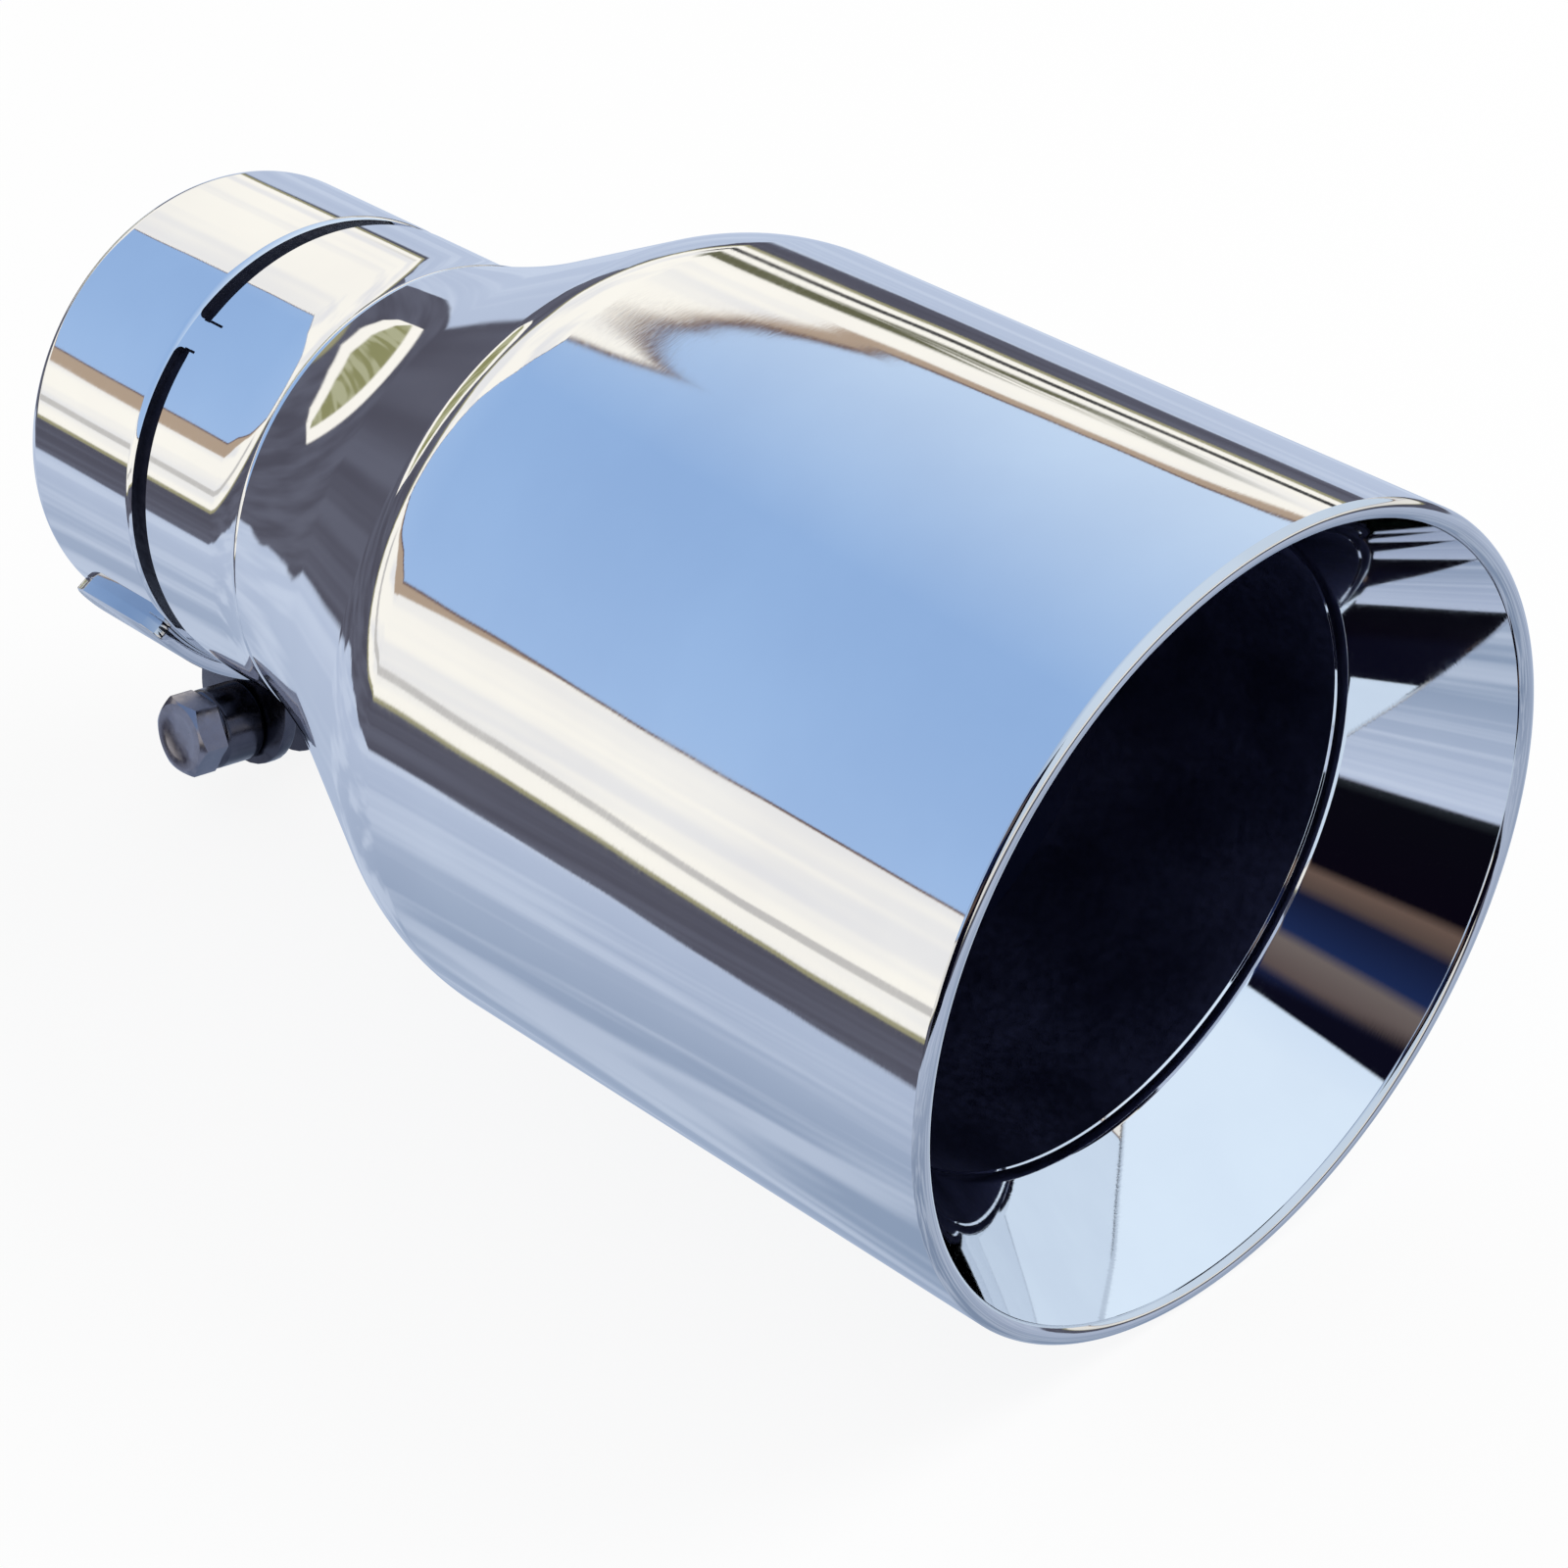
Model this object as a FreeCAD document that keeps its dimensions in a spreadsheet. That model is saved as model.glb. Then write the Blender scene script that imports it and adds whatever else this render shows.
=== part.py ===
# Polished stainless exhaust tip with a clamp-on inlet, a swaged neck and a slant-cut double-wall outlet.
# Lengths are in millimetres and angles in degrees.
# +X runs along the gas flow to the outlet, +Z is up, and the origin is the centre of the inlet's end.

import FreeCAD, Part
import os
import re

from FreeCAD import Placement, Rotation, Vector
from Sketcher import Constraint

# Driving dimensions: name and value.
SIZES = {
    # Inlet collar: a tube that slips over the tail pipe, with a clamp band slotted out of its end. Past
    # the flare's start it widens with the neck.
    "bore_radius": 30.0,
    "collar_wall": 1.2,
    "collar_length": 45.0,
    "flare_start": 37.0,
    "band_width": 22.0,
    "slot_width": 3.0,
    "bridge_width": 4.5,
    "bridge_turn": 47.0,
    "split_gap": 5.0,
    "corner_round": 1.0,
    # Outer shell: neck, shoulder and drum.
    "shell_wall": 1.2,
    "neck_bend": 55.0,
    "shoulder_bend": 24.0,
    "flank_angle": 25.0,
    "drum_radius": 50.8,
    # Outlet: the plane of the rim crosses the axis here and leans towards the long side.
    "rim_middle": 183.8,
    "slant_angle": 5.1,
    "slant_turn": 118.0,
    "rim_crown": 1.0,
    # Inner wall, back from the rim: bevel, short land clear of the shell by a gap, small step and sleeve.
    "inner_wall": 1.2,
    "bevel_depth": 18.2,
    "throat_gap": 8.6,
    "land_run": 1.6,
    "step_run": 0.5,
    "step_height": 0.6,
    "sleeve_end": 52.0,
    # Bead that closes the joint of neck and collar.
    "bead_width": 1.2,
    "bead_height": 0.15,
    # Clamp: two bent ears, turned with the split about the axis.
    "clamp_turn": -8.0,
    "ear_wall": 2.0,
    "ear_start": 1.5,
    "ear_width": 19.0,
    "ear_wrap": 52.0,
    "ear_reach": 48.5,
    "ear_round": 9.0,
    "foot_round": 3.0,
    "ear_bend": 1.5,
    # Clamp screw and what it carries. The share is how far down the ears' flanges the screw sits.
    "screw_along": 11.0,
    "screw_share": 0.608,
    "screw_radius": 3.0,
    "screw_length": 28.0,
    "hole_radius": 3.3,
    "hex_across": 10.0,
    "head_height": 4.0,
    "nut_height": 5.0,
    "hex_bevel": 0.7,
    "spacer_radius": 5.5,
    "spacer_length": 6.5,
    "spacer_bevel": 0.8,
    "washer_radius": 5.3,
    "washer_height": 1.6,
    "washer_gap": 0.8,
}

# Formulas that several pieces share.
COLLAR_OUT = "(bore_radius + collar_wall)"
FOOT_OUT = f"({COLLAR_OUT} + ear_wall)"
SCREW_DEPTH = f"({FOOT_OUT} + (ear_reach - {FOOT_OUT}) * screw_share)"
SHELL_IN = "(drum_radius - shell_wall)"

doc = FreeCAD.newDocument("ExhaustTip")


# Sheet and formulas

def fill_sheet():
    """Put each driving dimension in a cell of its own, with its name as alias."""
    sheet = doc.addObject("Spreadsheet::Sheet", "Sizes")
    for row, (name, value) in enumerate(SIZES.items(), start=1):
        sheet.set(f"A{row}", name)
        sheet.set(f"B{row}", str(value))
        sheet.setAlias(f"B{row}", name)
    doc.recompute()
    return sheet


def sized(formula):
    """Formula with each name of a size pointed at the sheet."""
    return re.sub(r"[a-z]+(?:_[a-z]+)+", lambda word: "Sizes." + word.group(0), str(formula))


def worth(formula):
    """Number that a formula gives now."""
    return float(sheet.evalExpression(str(formula)))


# Sketches

def add_body(name):
    body = doc.addObject("PartDesign::Body", name)
    body.Label = name
    return body


def sketch_on(body, name, plane, turn="0", lift="0"):
    """Sketch on one of the body's origin planes, turned about its first axis or lifted off the plane."""
    sketch = body.newObject("Sketcher::SketchObject", name)
    face = next(item for item in body.Origin.OriginFeatures if item.Role == plane)
    sketch.AttachmentSupport = [(face, "")]
    sketch.MapMode = "FlatFace"
    sketch.AttachmentOffset = Placement(Vector(0, 0, worth(lift)), Rotation(Vector(1, 0, 0), worth(turn)))
    sketch.setExpression("AttachmentOffset.Rotation.Angle", sized(turn))
    sketch.setExpression("AttachmentOffset.Base.z", sized(lift))
    return sketch


def arc_between(start, end, bend):
    """Shorter arc between two points, to the left of its path for a positive bend."""
    middle = (start + end) * 0.5
    chord = end - start
    side = Vector(-chord.y, chord.x, 0).normalize()
    rise = (bend ** 2 - chord.Length ** 2 / 4) ** 0.5
    centre = middle + side * (rise if bend > 0 else -rise)
    circle = Part.Circle(centre, Vector(0, 0, 1), abs(bend))
    first, last = circle.parameter(start), circle.parameter(end)
    if bend > 0:
        return Part.ArcOfCircle(circle, first, last)
    return Part.ArcOfCircle(circle, last, first)


def outline(sketch, corners):
    """Closed profile: each corner is two formulas, and a third is the radius of the arc that leaves it."""
    points = [Vector(worth(corner[0]), worth(corner[1]), 0) for corner in corners]
    ends = []
    for index, corner in enumerate(corners):
        start, end = points[index], points[(index + 1) % len(points)]
        if len(corner) == 2:
            edge = sketch.addGeometry(Part.LineSegment(start, end), False)
            ends.append((edge, 1, 2))
            continue
        bend = worth(corner[2])
        edge = sketch.addGeometry(arc_between(start, end, bend), False)
        ends.append((edge, 1, 2) if bend > 0 else (edge, 2, 1))
        radius = sketch.addConstraint(Constraint("Radius", edge, abs(bend)))
        sketch.setExpression(f"Constraints[{radius}]", f"abs({sized(corner[2])})")
    for index, (edge, _, last) in enumerate(ends):
        following = ends[(index + 1) % len(ends)]
        sketch.addConstraint(Constraint("Coincident", edge, last, following[0], following[1]))
    for (edge, first, _), corner, point in zip(ends, corners, points):
        across = sketch.addConstraint(Constraint("DistanceX", edge, first, point.x))
        sketch.setExpression(f"Constraints[{across}]", sized(corner[0]))
        up = sketch.addConstraint(Constraint("DistanceY", edge, first, point.y))
        sketch.setExpression(f"Constraints[{up}]", sized(corner[1]))


def circle_at(sketch, radius, across="0", up="0"):
    """Circle with its radius and centre given by formulas."""
    centre = Vector(worth(across), worth(up), 0)
    edge = sketch.addGeometry(Part.Circle(centre, Vector(0, 0, 1), worth(radius)), False)
    size = sketch.addConstraint(Constraint("Radius", edge, worth(radius)))
    sketch.setExpression(f"Constraints[{size}]", sized(radius))
    for kind, place, formula in (("DistanceX", centre.x, across), ("DistanceY", centre.y, up)):
        number = sketch.addConstraint(Constraint(kind, edge, 3, place))
        sketch.setExpression(f"Constraints[{number}]", sized(formula))


# Features

def pad(body, sketch, length, reverse=False):
    feature = body.newObject("PartDesign::Pad", sketch.Name + "Pad")
    feature.Profile = sketch
    feature.setExpression("Length", sized(length))
    feature.Reversed = reverse
    doc.recompute()


def revolve(body, sketch, axis="H_Axis"):
    feature = body.newObject("PartDesign::Revolution", sketch.Name + "Turned")
    feature.Profile = sketch
    feature.ReferenceAxis = (sketch, [axis])
    feature.Angle = 360
    doc.recompute()


def checked_cut(body, feature):
    """Recompute after a cut and stop if it removed nothing."""
    before = feature.BaseFeature.Shape.Volume
    doc.recompute()
    if feature.Shape.Volume > before - 0.01:
        raise RuntimeError(feature.Name + " cuts nothing")


def pocket(body, sketch, length=None):
    """Cut along the sketch's normal: both ways right through, or one way for a length."""
    feature = body.newObject("PartDesign::Pocket", sketch.Name + "Cut")
    feature.Profile = sketch
    if length is None:
        feature.Type = "ThroughAll"
        feature.SideType = "Symmetric"
    else:
        feature.setExpression("Length", sized(length))
        feature.Reversed = True
    checked_cut(body, feature)


def groove(body, sketch, sweep, axis="H_Axis"):
    """Cut round one of the sketch's axes, half of the sweep to each side."""
    feature = body.newObject("PartDesign::Groove", sketch.Name + "Cut")
    feature.Profile = sketch
    feature.ReferenceAxis = (sketch, [axis])
    feature.Midplane = True
    feature.setExpression("Angle", sized(sweep))
    checked_cut(body, feature)


def fillet(body, name, radius, wanted):
    """Round the edges of the body's tip that the test picks."""
    base = body.Tip
    picked = [f"Edge{number}" for number, edge in enumerate(base.Shape.Edges, start=1) if wanted(edge)]
    if not picked:
        raise RuntimeError(name + " finds no edge")
    feature = body.newObject("PartDesign::Fillet", name)
    feature.Base = (base, picked)
    feature.setExpression("Radius", sized(radius))
    doc.recompute()


def near(value, target, slack=0.01):
    return abs(value - target) < slack


def is_short(edge, length):
    """True for a straight edge of about that length, such as one across a sheet's thickness."""
    return isinstance(edge.Curve, Part.Line) and near(edge.Length, length, 0.05)


def runs_along(edge, length, across, up):
    """True for an edge parallel to the X axis with that length and place."""
    box = edge.BoundBox
    straight = near(box.XLength, length) and near(box.YLength, 0) and near(box.ZLength, 0)
    return straight and near(box.YMin, across) and near(box.ZMin, up)


def turn_with_clamp(body):
    """Turn a piece that is drawn with the split straight down to where the clamp sits."""
    body.Placement = Placement(Vector(), Rotation(Vector(1, 0, 0), 1))
    body.setExpression("Placement.Rotation.Angle", sized("clamp_turn"))


def lean_with_rim(body):
    """Set a piece that is drawn square to the axis on the slanted plane of the rim."""
    body.Placement = Placement(Vector(), Rotation(Vector(0, 1, 0), 1))
    body.setExpression("Placement.Base.x", sized("rim_middle"))
    body.setExpression("Placement.Rotation.Axis.y", sized("sin(slant_turn)"))
    body.setExpression("Placement.Rotation.Axis.z", sized("-cos(slant_turn)"))
    body.setExpression("Placement.Rotation.Angle", sized("slant_angle"))


# Sub-parts

def flare_at(along, wall="0"):
    """Radius of the flare's outer face at a length, or of the face that a wall puts inside it."""
    return f"({COLLAR_OUT} + neck_bend - sqrt((neck_bend + {wall}) ^ 2 - ({along} - flare_start) ^ 2))"


def inlet_collar():
    """Tube whose end is a clamp band: slotted round but for two bridges, and split at the bottom."""
    body = add_body("inlet_collar")
    tube = sketch_on(body, "CollarSection", "XZ_Plane")
    outline(tube, [
        ("0", COLLAR_OUT),
        ("flare_start", COLLAR_OUT, "neck_bend"),
        ("collar_length", flare_at("collar_length")),
        ("collar_length", flare_at("collar_length", "collar_wall"), "-neck_bend - collar_wall"),
        ("flare_start", "bore_radius"),
        ("0", "bore_radius")])
    revolve(body, tube)

    half_bridge = f"(asin(bridge_width / 2 / {COLLAR_OUT}) / (1 deg))"
    arcs = (("SlotTop", 1, f"2 * (bridge_turn - {half_bridge})"),
            ("SlotBottom", -1, f"360 - 2 * (bridge_turn + {half_bridge})"))
    for name, side, sweep in arcs:
        slot = sketch_on(body, name, "XZ_Plane")
        inner, outer = f"{side} * (bore_radius - 1)", f"{side} * ({COLLAR_OUT} + 1)"
        outline(slot, [("band_width", inner), ("band_width + slot_width", inner),
                       ("band_width + slot_width", outer), ("band_width", outer)])
        groove(body, slot, sweep)

    split = sketch_on(body, "Split", "YZ_Plane")
    low, high = f"-1 * ({COLLAR_OUT} + 1)", "-bore_radius / 2"
    outline(split, [("-split_gap / 2", low), ("split_gap / 2", low),
                    ("split_gap / 2", high), ("-split_gap / 2", high)])
    pocket(body, split, "band_width + slot_width / 2")

    fillet(body, "CornerRound", "corner_round", lambda edge: is_short(edge, worth("collar_wall")))
    turn_with_clamp(body)
    return body


def outer_shell():
    """One sheet: the rest of the flare, the neck's straight flank, the shoulder and the drum."""
    body = add_body("outer_shell")
    rise = f"(drum_radius - {COLLAR_OUT})"
    flank = f"(({rise} - (neck_bend + shoulder_bend) * (1 - cos(flank_angle))) / sin(flank_angle))"
    flank_at = "(flare_start + neck_bend * sin(flank_angle))"
    bend_at = f"({flank_at} + {flank} * cos(flank_angle))"
    drum_at = f"({bend_at} + shoulder_bend * sin(flank_angle))"
    lean_x, lean_y = "shell_wall * sin(flank_angle)", "shell_wall * cos(flank_angle)"
    low_up = f"{COLLAR_OUT} + neck_bend * (1 - cos(flank_angle))"
    high_up = "drum_radius - shoulder_bend * (1 - cos(flank_angle))"
    shell_end = "rim_middle + drum_radius"

    section = sketch_on(body, "ShellSection", "XZ_Plane")
    outline(section, [
        ("collar_length", flare_at("collar_length"), "neck_bend"),
        (flank_at, low_up),
        (bend_at, high_up, "-shoulder_bend"),
        (drum_at, "drum_radius"),
        (shell_end, "drum_radius"),
        (shell_end, SHELL_IN),
        (drum_at, SHELL_IN, "shoulder_bend - shell_wall"),
        (f"{bend_at} + {lean_x}", f"{high_up} - {lean_y}"),
        (f"{flank_at} + {lean_x}", f"{low_up} - {lean_y}", "-neck_bend - shell_wall"),
        ("collar_length", flare_at("collar_length", "shell_wall"))])
    revolve(body, section)

    reach = "(drum_radius + 5)"
    far = "(rim_middle + 2 * drum_radius)"
    slant = sketch_on(body, "SlantCut", "XZ_Plane", "slant_turn - 90")
    outline(slant, [(f"rim_middle - {reach} * tan(slant_angle)", f"-{reach}"), (far, f"-{reach}"),
                    (far, reach), (f"rim_middle + {reach} * tan(slant_angle)", reach)])
    pocket(body, slant)
    return body


def inner_wall():
    """Inner sheet of the outlet: bevel, short land at the throat, small step and sleeve."""
    body = add_body("inner_wall")
    throat_out = f"({SHELL_IN} - throat_gap)"
    sleeve_out = f"({throat_out} - step_height)"
    land_at = "(bevel_depth + land_run)"
    step_at = f"({land_at} + step_run)"
    behind = "inner_wall / 4"
    section = sketch_on(body, "InnerSection", "XZ_Plane")
    outline(section, [
        ("0", f"{SHELL_IN} - inner_wall"),
        ("-bevel_depth", f"{throat_out} - inner_wall"),
        (f"-{land_at}", f"{throat_out} - inner_wall"),
        (f"-{step_at}", f"{sleeve_out} - inner_wall"),
        ("-sleeve_end", f"{sleeve_out} - inner_wall"),
        ("-sleeve_end", sleeve_out),
        (f"-{step_at} - {behind}", sleeve_out),
        (f"-{land_at} - {behind}", throat_out),
        (f"-bevel_depth - {behind}", throat_out),
        ("0", SHELL_IN)])
    revolve(body, section)
    lean_with_rim(body)
    return body


def rim_weld():
    """Ground bead with a crown of five flats that joins the two sheets all round the outlet."""
    body = add_body("rim_weld")
    sheets = "(shell_wall + inner_wall)"
    shoulders = (("0", 0), ("0.6 * rim_crown", 0.12), ("rim_crown", 0.35),
                 ("rim_crown", 0.65), ("0.6 * rim_crown", 0.88), ("0", 1))
    section = sketch_on(body, "RimSection", "XZ_Plane")
    outline(section, [(out, f"drum_radius - {sheets} * {1 - share}") for out, share in shoulders])
    revolve(body, section)
    lean_with_rim(body)
    return body


def neck_weld():
    """Low polished bead over the joint of collar and neck, ground flat on top."""
    body = add_body("neck_weld")
    foot_near, foot_far = "(collar_length - bead_width / 2)", "(collar_length + bead_width / 2)"
    top_near, top_far = "(collar_length - bead_width / 4)", "(collar_length + bead_width / 4)"
    section = sketch_on(body, "BeadSection", "XZ_Plane")
    outline(section, [(foot_near, flare_at(foot_near)),
                      (top_near, f"{flare_at(top_near)} + bead_height"),
                      (top_far, f"{flare_at(top_far)} + bead_height"),
                      (foot_far, flare_at(foot_far), "-neck_bend")])
    revolve(body, section)
    return body


def clamp_ear(name, side):
    """Bent ear: a foot that hugs the band and a flange that the screw pulls on."""
    body = add_body(name)
    inner_face, outer_face = "(split_gap / 2)", "(split_gap / 2 + ear_wall)"
    bend_in_up = f"-sqrt({COLLAR_OUT} ^ 2 - {inner_face} ^ 2)"
    bend_out_up = f"-sqrt({FOOT_OUT} ^ 2 - {outer_face} ^ 2)"
    section = sketch_on(body, name + "_section", "YZ_Plane", lift="ear_start")
    outline(section, [
        (f"{side} * {outer_face}", bend_out_up, f"{side} * {FOOT_OUT}"),
        (f"{side} * {FOOT_OUT} * sin(ear_wrap)", f"-1 * {FOOT_OUT} * cos(ear_wrap)"),
        (f"{side} * {COLLAR_OUT} * sin(ear_wrap)", f"-1 * {COLLAR_OUT} * cos(ear_wrap)",
         f"{-side} * {COLLAR_OUT}"),
        (f"{side} * {inner_face}", bend_in_up),
        (f"{side} * {inner_face}", "-ear_reach"),
        (f"{side} * {outer_face}", "-ear_reach")])
    pad(body, section, "ear_width")

    hole = sketch_on(body, name + "_hole", "XZ_Plane")
    circle_at(hole, "hole_radius", "screw_along", f"-1 * {SCREW_DEPTH}")
    pocket(body, hole)

    width = worth("ear_width")
    fillet(body, name + "_corners", "ear_round",
           lambda edge: is_short(edge, worth("ear_wall")) and near(edge.BoundBox.ZMin, -worth("ear_reach")))
    fillet(body, name + "_foot_corners", "foot_round",
           lambda edge: is_short(edge, worth("ear_wall")) and edge.BoundBox.ZMax > -worth("bore_radius"))
    fillet(body, name + "_inside_bend", "ear_bend",
           lambda edge: runs_along(edge, width, side * worth(outer_face), worth(bend_out_up)))
    fillet(body, name + "_outside_bend", "ear_bend + ear_wall",
           lambda edge: runs_along(edge, width, side * worth(inner_face), worth(bend_in_up)))
    turn_with_clamp(body)
    return body


# Screw and nut, each drawn about its own Y axis from the face that bears

def place_on_screw(body, along):
    """Set a piece on the screw's line, that far from the middle of the split."""
    turn_with_clamp(body)
    across = f"({along}) * cos(clamp_turn) + {SCREW_DEPTH} * sin(clamp_turn)"
    up = f"({along}) * sin(clamp_turn) - {SCREW_DEPTH} * cos(clamp_turn)"
    for place, formula in (("x", "screw_along"), ("y", across), ("z", up)):
        body.setExpression(f"Placement.Base.{place}", sized(formula))


def hexagon(sketch):
    """Hexagon of the screw's head and nut, with corners on the first axis."""
    corner = "hex_across / sqrt(3)"
    outline(sketch, [(f"{corner} * cos({turn})", f"{corner} * sin({turn})") for turn in range(0, 360, 60)])


def bevel_hexagon(body, name, end, inward):
    """Turn the corners off one end of a hexagon at 30 degrees."""
    ridge = sketch_on(body, name, "XY_Plane")
    near_edge, far_edge = "hex_across * 0.48", "hex_across"
    outline(ridge, [(near_edge, end), (far_edge, end),
                    (far_edge, f"{end} + {inward} * ({far_edge} - {near_edge}) * tan(30)")])
    groove(body, ridge, "360", "V_Axis")


def clamp_screw():
    """Hexagon screw with its head on the front side."""
    body = add_body("clamp_screw")
    shank = sketch_on(body, "Shank", "XY_Plane")
    outline(shank, [("0", "0"), ("screw_radius", "0"), ("screw_radius", "screw_length - hex_bevel"),
                    ("screw_radius - hex_bevel", "screw_length"), ("0", "screw_length")])
    revolve(body, shank, "V_Axis")
    head = sketch_on(body, "Head", "XZ_Plane")
    hexagon(head)
    pad(body, head, "head_height")
    bevel_hexagon(body, "HeadBevel", "-head_height", 1)
    place_on_screw(body, "-split_gap / 2 - ear_wall - spacer_length")
    return body


def screw_spacer():
    """Turned spacer between the screw's head and the front ear."""
    body = add_body("screw_spacer")
    section = sketch_on(body, "SpacerSection", "XY_Plane")
    outline(section, [("hole_radius", "0"), ("spacer_radius - spacer_bevel", "0"),
                      ("spacer_radius", "spacer_bevel"), ("spacer_radius", "spacer_length - spacer_bevel"),
                      ("spacer_radius - spacer_bevel", "spacer_length"), ("hole_radius", "spacer_length")])
    revolve(body, section, "V_Axis")
    place_on_screw(body, "-split_gap / 2 - ear_wall - spacer_length")
    return body


def lock_washer():
    """Split spring washer, drawn pressed flat under the nut."""
    body = add_body("lock_washer")
    ring = sketch_on(body, "WasherSection", "XZ_Plane")
    circle_at(ring, "screw_radius + 0.1")
    circle_at(ring, "washer_radius")
    pad(body, ring, "washer_height", reverse=True)
    gap = sketch_on(body, "WasherGap", "XZ_Plane")
    outline(gap, [("0", "-washer_gap / 2"), ("washer_radius + 1", "-washer_gap / 2"),
                  ("washer_radius + 1", "washer_gap / 2"), ("0", "washer_gap / 2")])
    pocket(body, gap)
    place_on_screw(body, "split_gap / 2 + ear_wall")
    return body


def clamp_nut():
    """Hexagon nut behind the rear ear."""
    body = add_body("clamp_nut")
    section = sketch_on(body, "NutSection", "XZ_Plane")
    hexagon(section)
    circle_at(section, "screw_radius")
    pad(body, section, "nut_height", reverse=True)
    bevel_hexagon(body, "NutBevelNear", "0", 1)
    bevel_hexagon(body, "NutBevelFar", "nut_height", -1)
    place_on_screw(body, "split_gap / 2 + ear_wall + washer_height")
    return body


# Build, check and write

def check_document():
    """Stop if any object failed to recompute."""
    for item in doc.Objects:
        if "Invalid" in item.State or "Error" in item.State:
            raise RuntimeError(f"{item.Label} did not recompute: {item.State}")


def write_parts(pieces):
    """Check each sub-part's shape and write it to a file of its own name."""
    os.makedirs("parts", exist_ok=True)
    for piece in pieces:
        shape = piece.Shape
        if shape.isNull() or not shape.isValid() or len(shape.Solids) != 1:
            raise RuntimeError(piece.Label + " is not one valid solid")
        shape.exportStep(f"parts/{piece.Label}.step")
        print(f"{piece.Label}: {shape.Volume:.0f} mm3")


sheet = fill_sheet()
pieces = [
    inlet_collar(),
    neck_weld(),
    outer_shell(),
    inner_wall(),
    rim_weld(),
    clamp_ear("clamp_ear_front", -1),
    clamp_ear("clamp_ear_rear", 1),
    clamp_screw(),
    screw_spacer(),
    lock_washer(),
    clamp_nut(),
]
doc.recompute()
check_document()
write_parts(pieces)
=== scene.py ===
# Exhaust tip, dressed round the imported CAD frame: polished sheets turned finely, a clamp band cut out
# of the collar's end, bent ears and a threaded screw, on a plain pale floor.
# Lengths are in metres unless a name says otherwise. +X runs to the outlet and +Z is up.

import math

import bmesh
import bpy
from mathutils import Matrix, Vector


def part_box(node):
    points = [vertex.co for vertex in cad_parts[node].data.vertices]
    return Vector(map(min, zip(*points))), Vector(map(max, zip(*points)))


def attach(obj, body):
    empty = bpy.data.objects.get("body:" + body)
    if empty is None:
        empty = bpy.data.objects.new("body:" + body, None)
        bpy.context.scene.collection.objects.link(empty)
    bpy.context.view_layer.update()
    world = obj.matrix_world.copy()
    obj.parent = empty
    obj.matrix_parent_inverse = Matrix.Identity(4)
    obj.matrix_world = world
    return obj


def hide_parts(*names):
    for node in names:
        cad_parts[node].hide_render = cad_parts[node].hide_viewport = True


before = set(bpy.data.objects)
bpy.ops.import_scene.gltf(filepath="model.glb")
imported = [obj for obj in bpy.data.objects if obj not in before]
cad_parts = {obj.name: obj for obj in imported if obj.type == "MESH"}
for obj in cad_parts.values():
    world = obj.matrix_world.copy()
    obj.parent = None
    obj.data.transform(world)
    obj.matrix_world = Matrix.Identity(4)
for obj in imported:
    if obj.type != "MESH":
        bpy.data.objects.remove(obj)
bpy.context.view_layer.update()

MM = 0.001
HARD_EDGE = math.radians(28)

# Places read from the frame
SHELL_LOW, SHELL_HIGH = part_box("outer_shell")
DRUM_R = SHELL_HIGH.y
SEAM_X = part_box("inlet_collar")[1].x
FLOOR_Z = SHELL_LOW.z

# Sheets of the collar and shell: a flare runs through both, tighter up to their seam than after it
WALL = 1.2 * MM
COLLAR_R = 31.2 * MM
COLLAR_BEND = 26 * MM
SEAM_LEAN = 14
FLARE_START = SEAM_X - COLLAR_BEND * math.sin(math.radians(SEAM_LEAN))
SEAM_R = COLLAR_R + COLLAR_BEND * (1 - math.cos(math.radians(SEAM_LEAN)))
NECK_BEND = 128 * MM
SHOULDER_BEND = 24 * MM
FLANK_ANGLE = 25

# Outlet: the rim's plane leans, with its long side at this turn from +Y towards +Z
SLANT_ANGLE = math.radians(5.1)
SLANT_TURN = math.radians(118)
RIM_X = SHELL_HIGH.x - DRUM_R * math.tan(SLANT_ANGLE)
RIM_CROWN = 1 * MM
BEVEL_DEPTH = 18.2 * MM
THROAT_R = DRUM_R - 11 * MM
LAND_RUN = 1.1 * MM
STEP_RUN = 0.32 * MM
SLEEVE_R = THROAT_R - 0.16 * MM
SLEEVE_END = 52 * MM
LAND_ROUND = 3 * MM
VALLEY_ROUND = 0.2 * MM
LIP_ROUND = 0.35 * MM

# Bead over the joint of neck and collar
BEAD_HALF = 0.6 * MM
BEAD_HEIGHT = 0.15 * MM

# Clamp band with rolled edges, drawn with its split straight down and then turned
BAND_WIDTH = 22 * MM
EDGE_RUN = 1.1 * MM
EDGE_DROP = 0.28 * MM
SLOT_WIDTH = 3 * MM
SLOT_FLARE = 2 * MM
RELIEF_WIDTH = 0.35 * MM
RELIEF_LENGTH = 2.4 * MM
BRIDGE_WIDTH = 4.5 * MM
BRIDGE_TURN = 47
SPLIT_GAP = 5 * MM
CORNER_ROUND = 1 * MM
CLAMP_TURN = math.radians(-8)
CLAMP_FRAME = Matrix.Rotation(CLAMP_TURN, 4, "X")

# Cutters reach past an edge that they cut, and a little way into the cut beside them
CUT_BEYOND = 1 * MM
CUT_OVERLAP = 0.01 * MM

# Liner behind the slot, near black as painted shade in the slot
STRIP_START = 18 * MM
STRIP_END = 29 * MM
STRIP_WALL = 0.4 * MM

# Ears
EAR_WALL = 2 * MM
EAR_START = 1.5 * MM
EAR_WIDTH = 19 * MM
EAR_WRAP = 52
EAR_REACH = 48.5 * MM
EAR_ROUND = 9 * MM
FOOT_ROUND = 3 * MM
EAR_BEND = 2.5 * MM
EAR_SOFT = 0.25 * MM
FOOT_ROWS = 28
BEND_ROWS = 8

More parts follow.
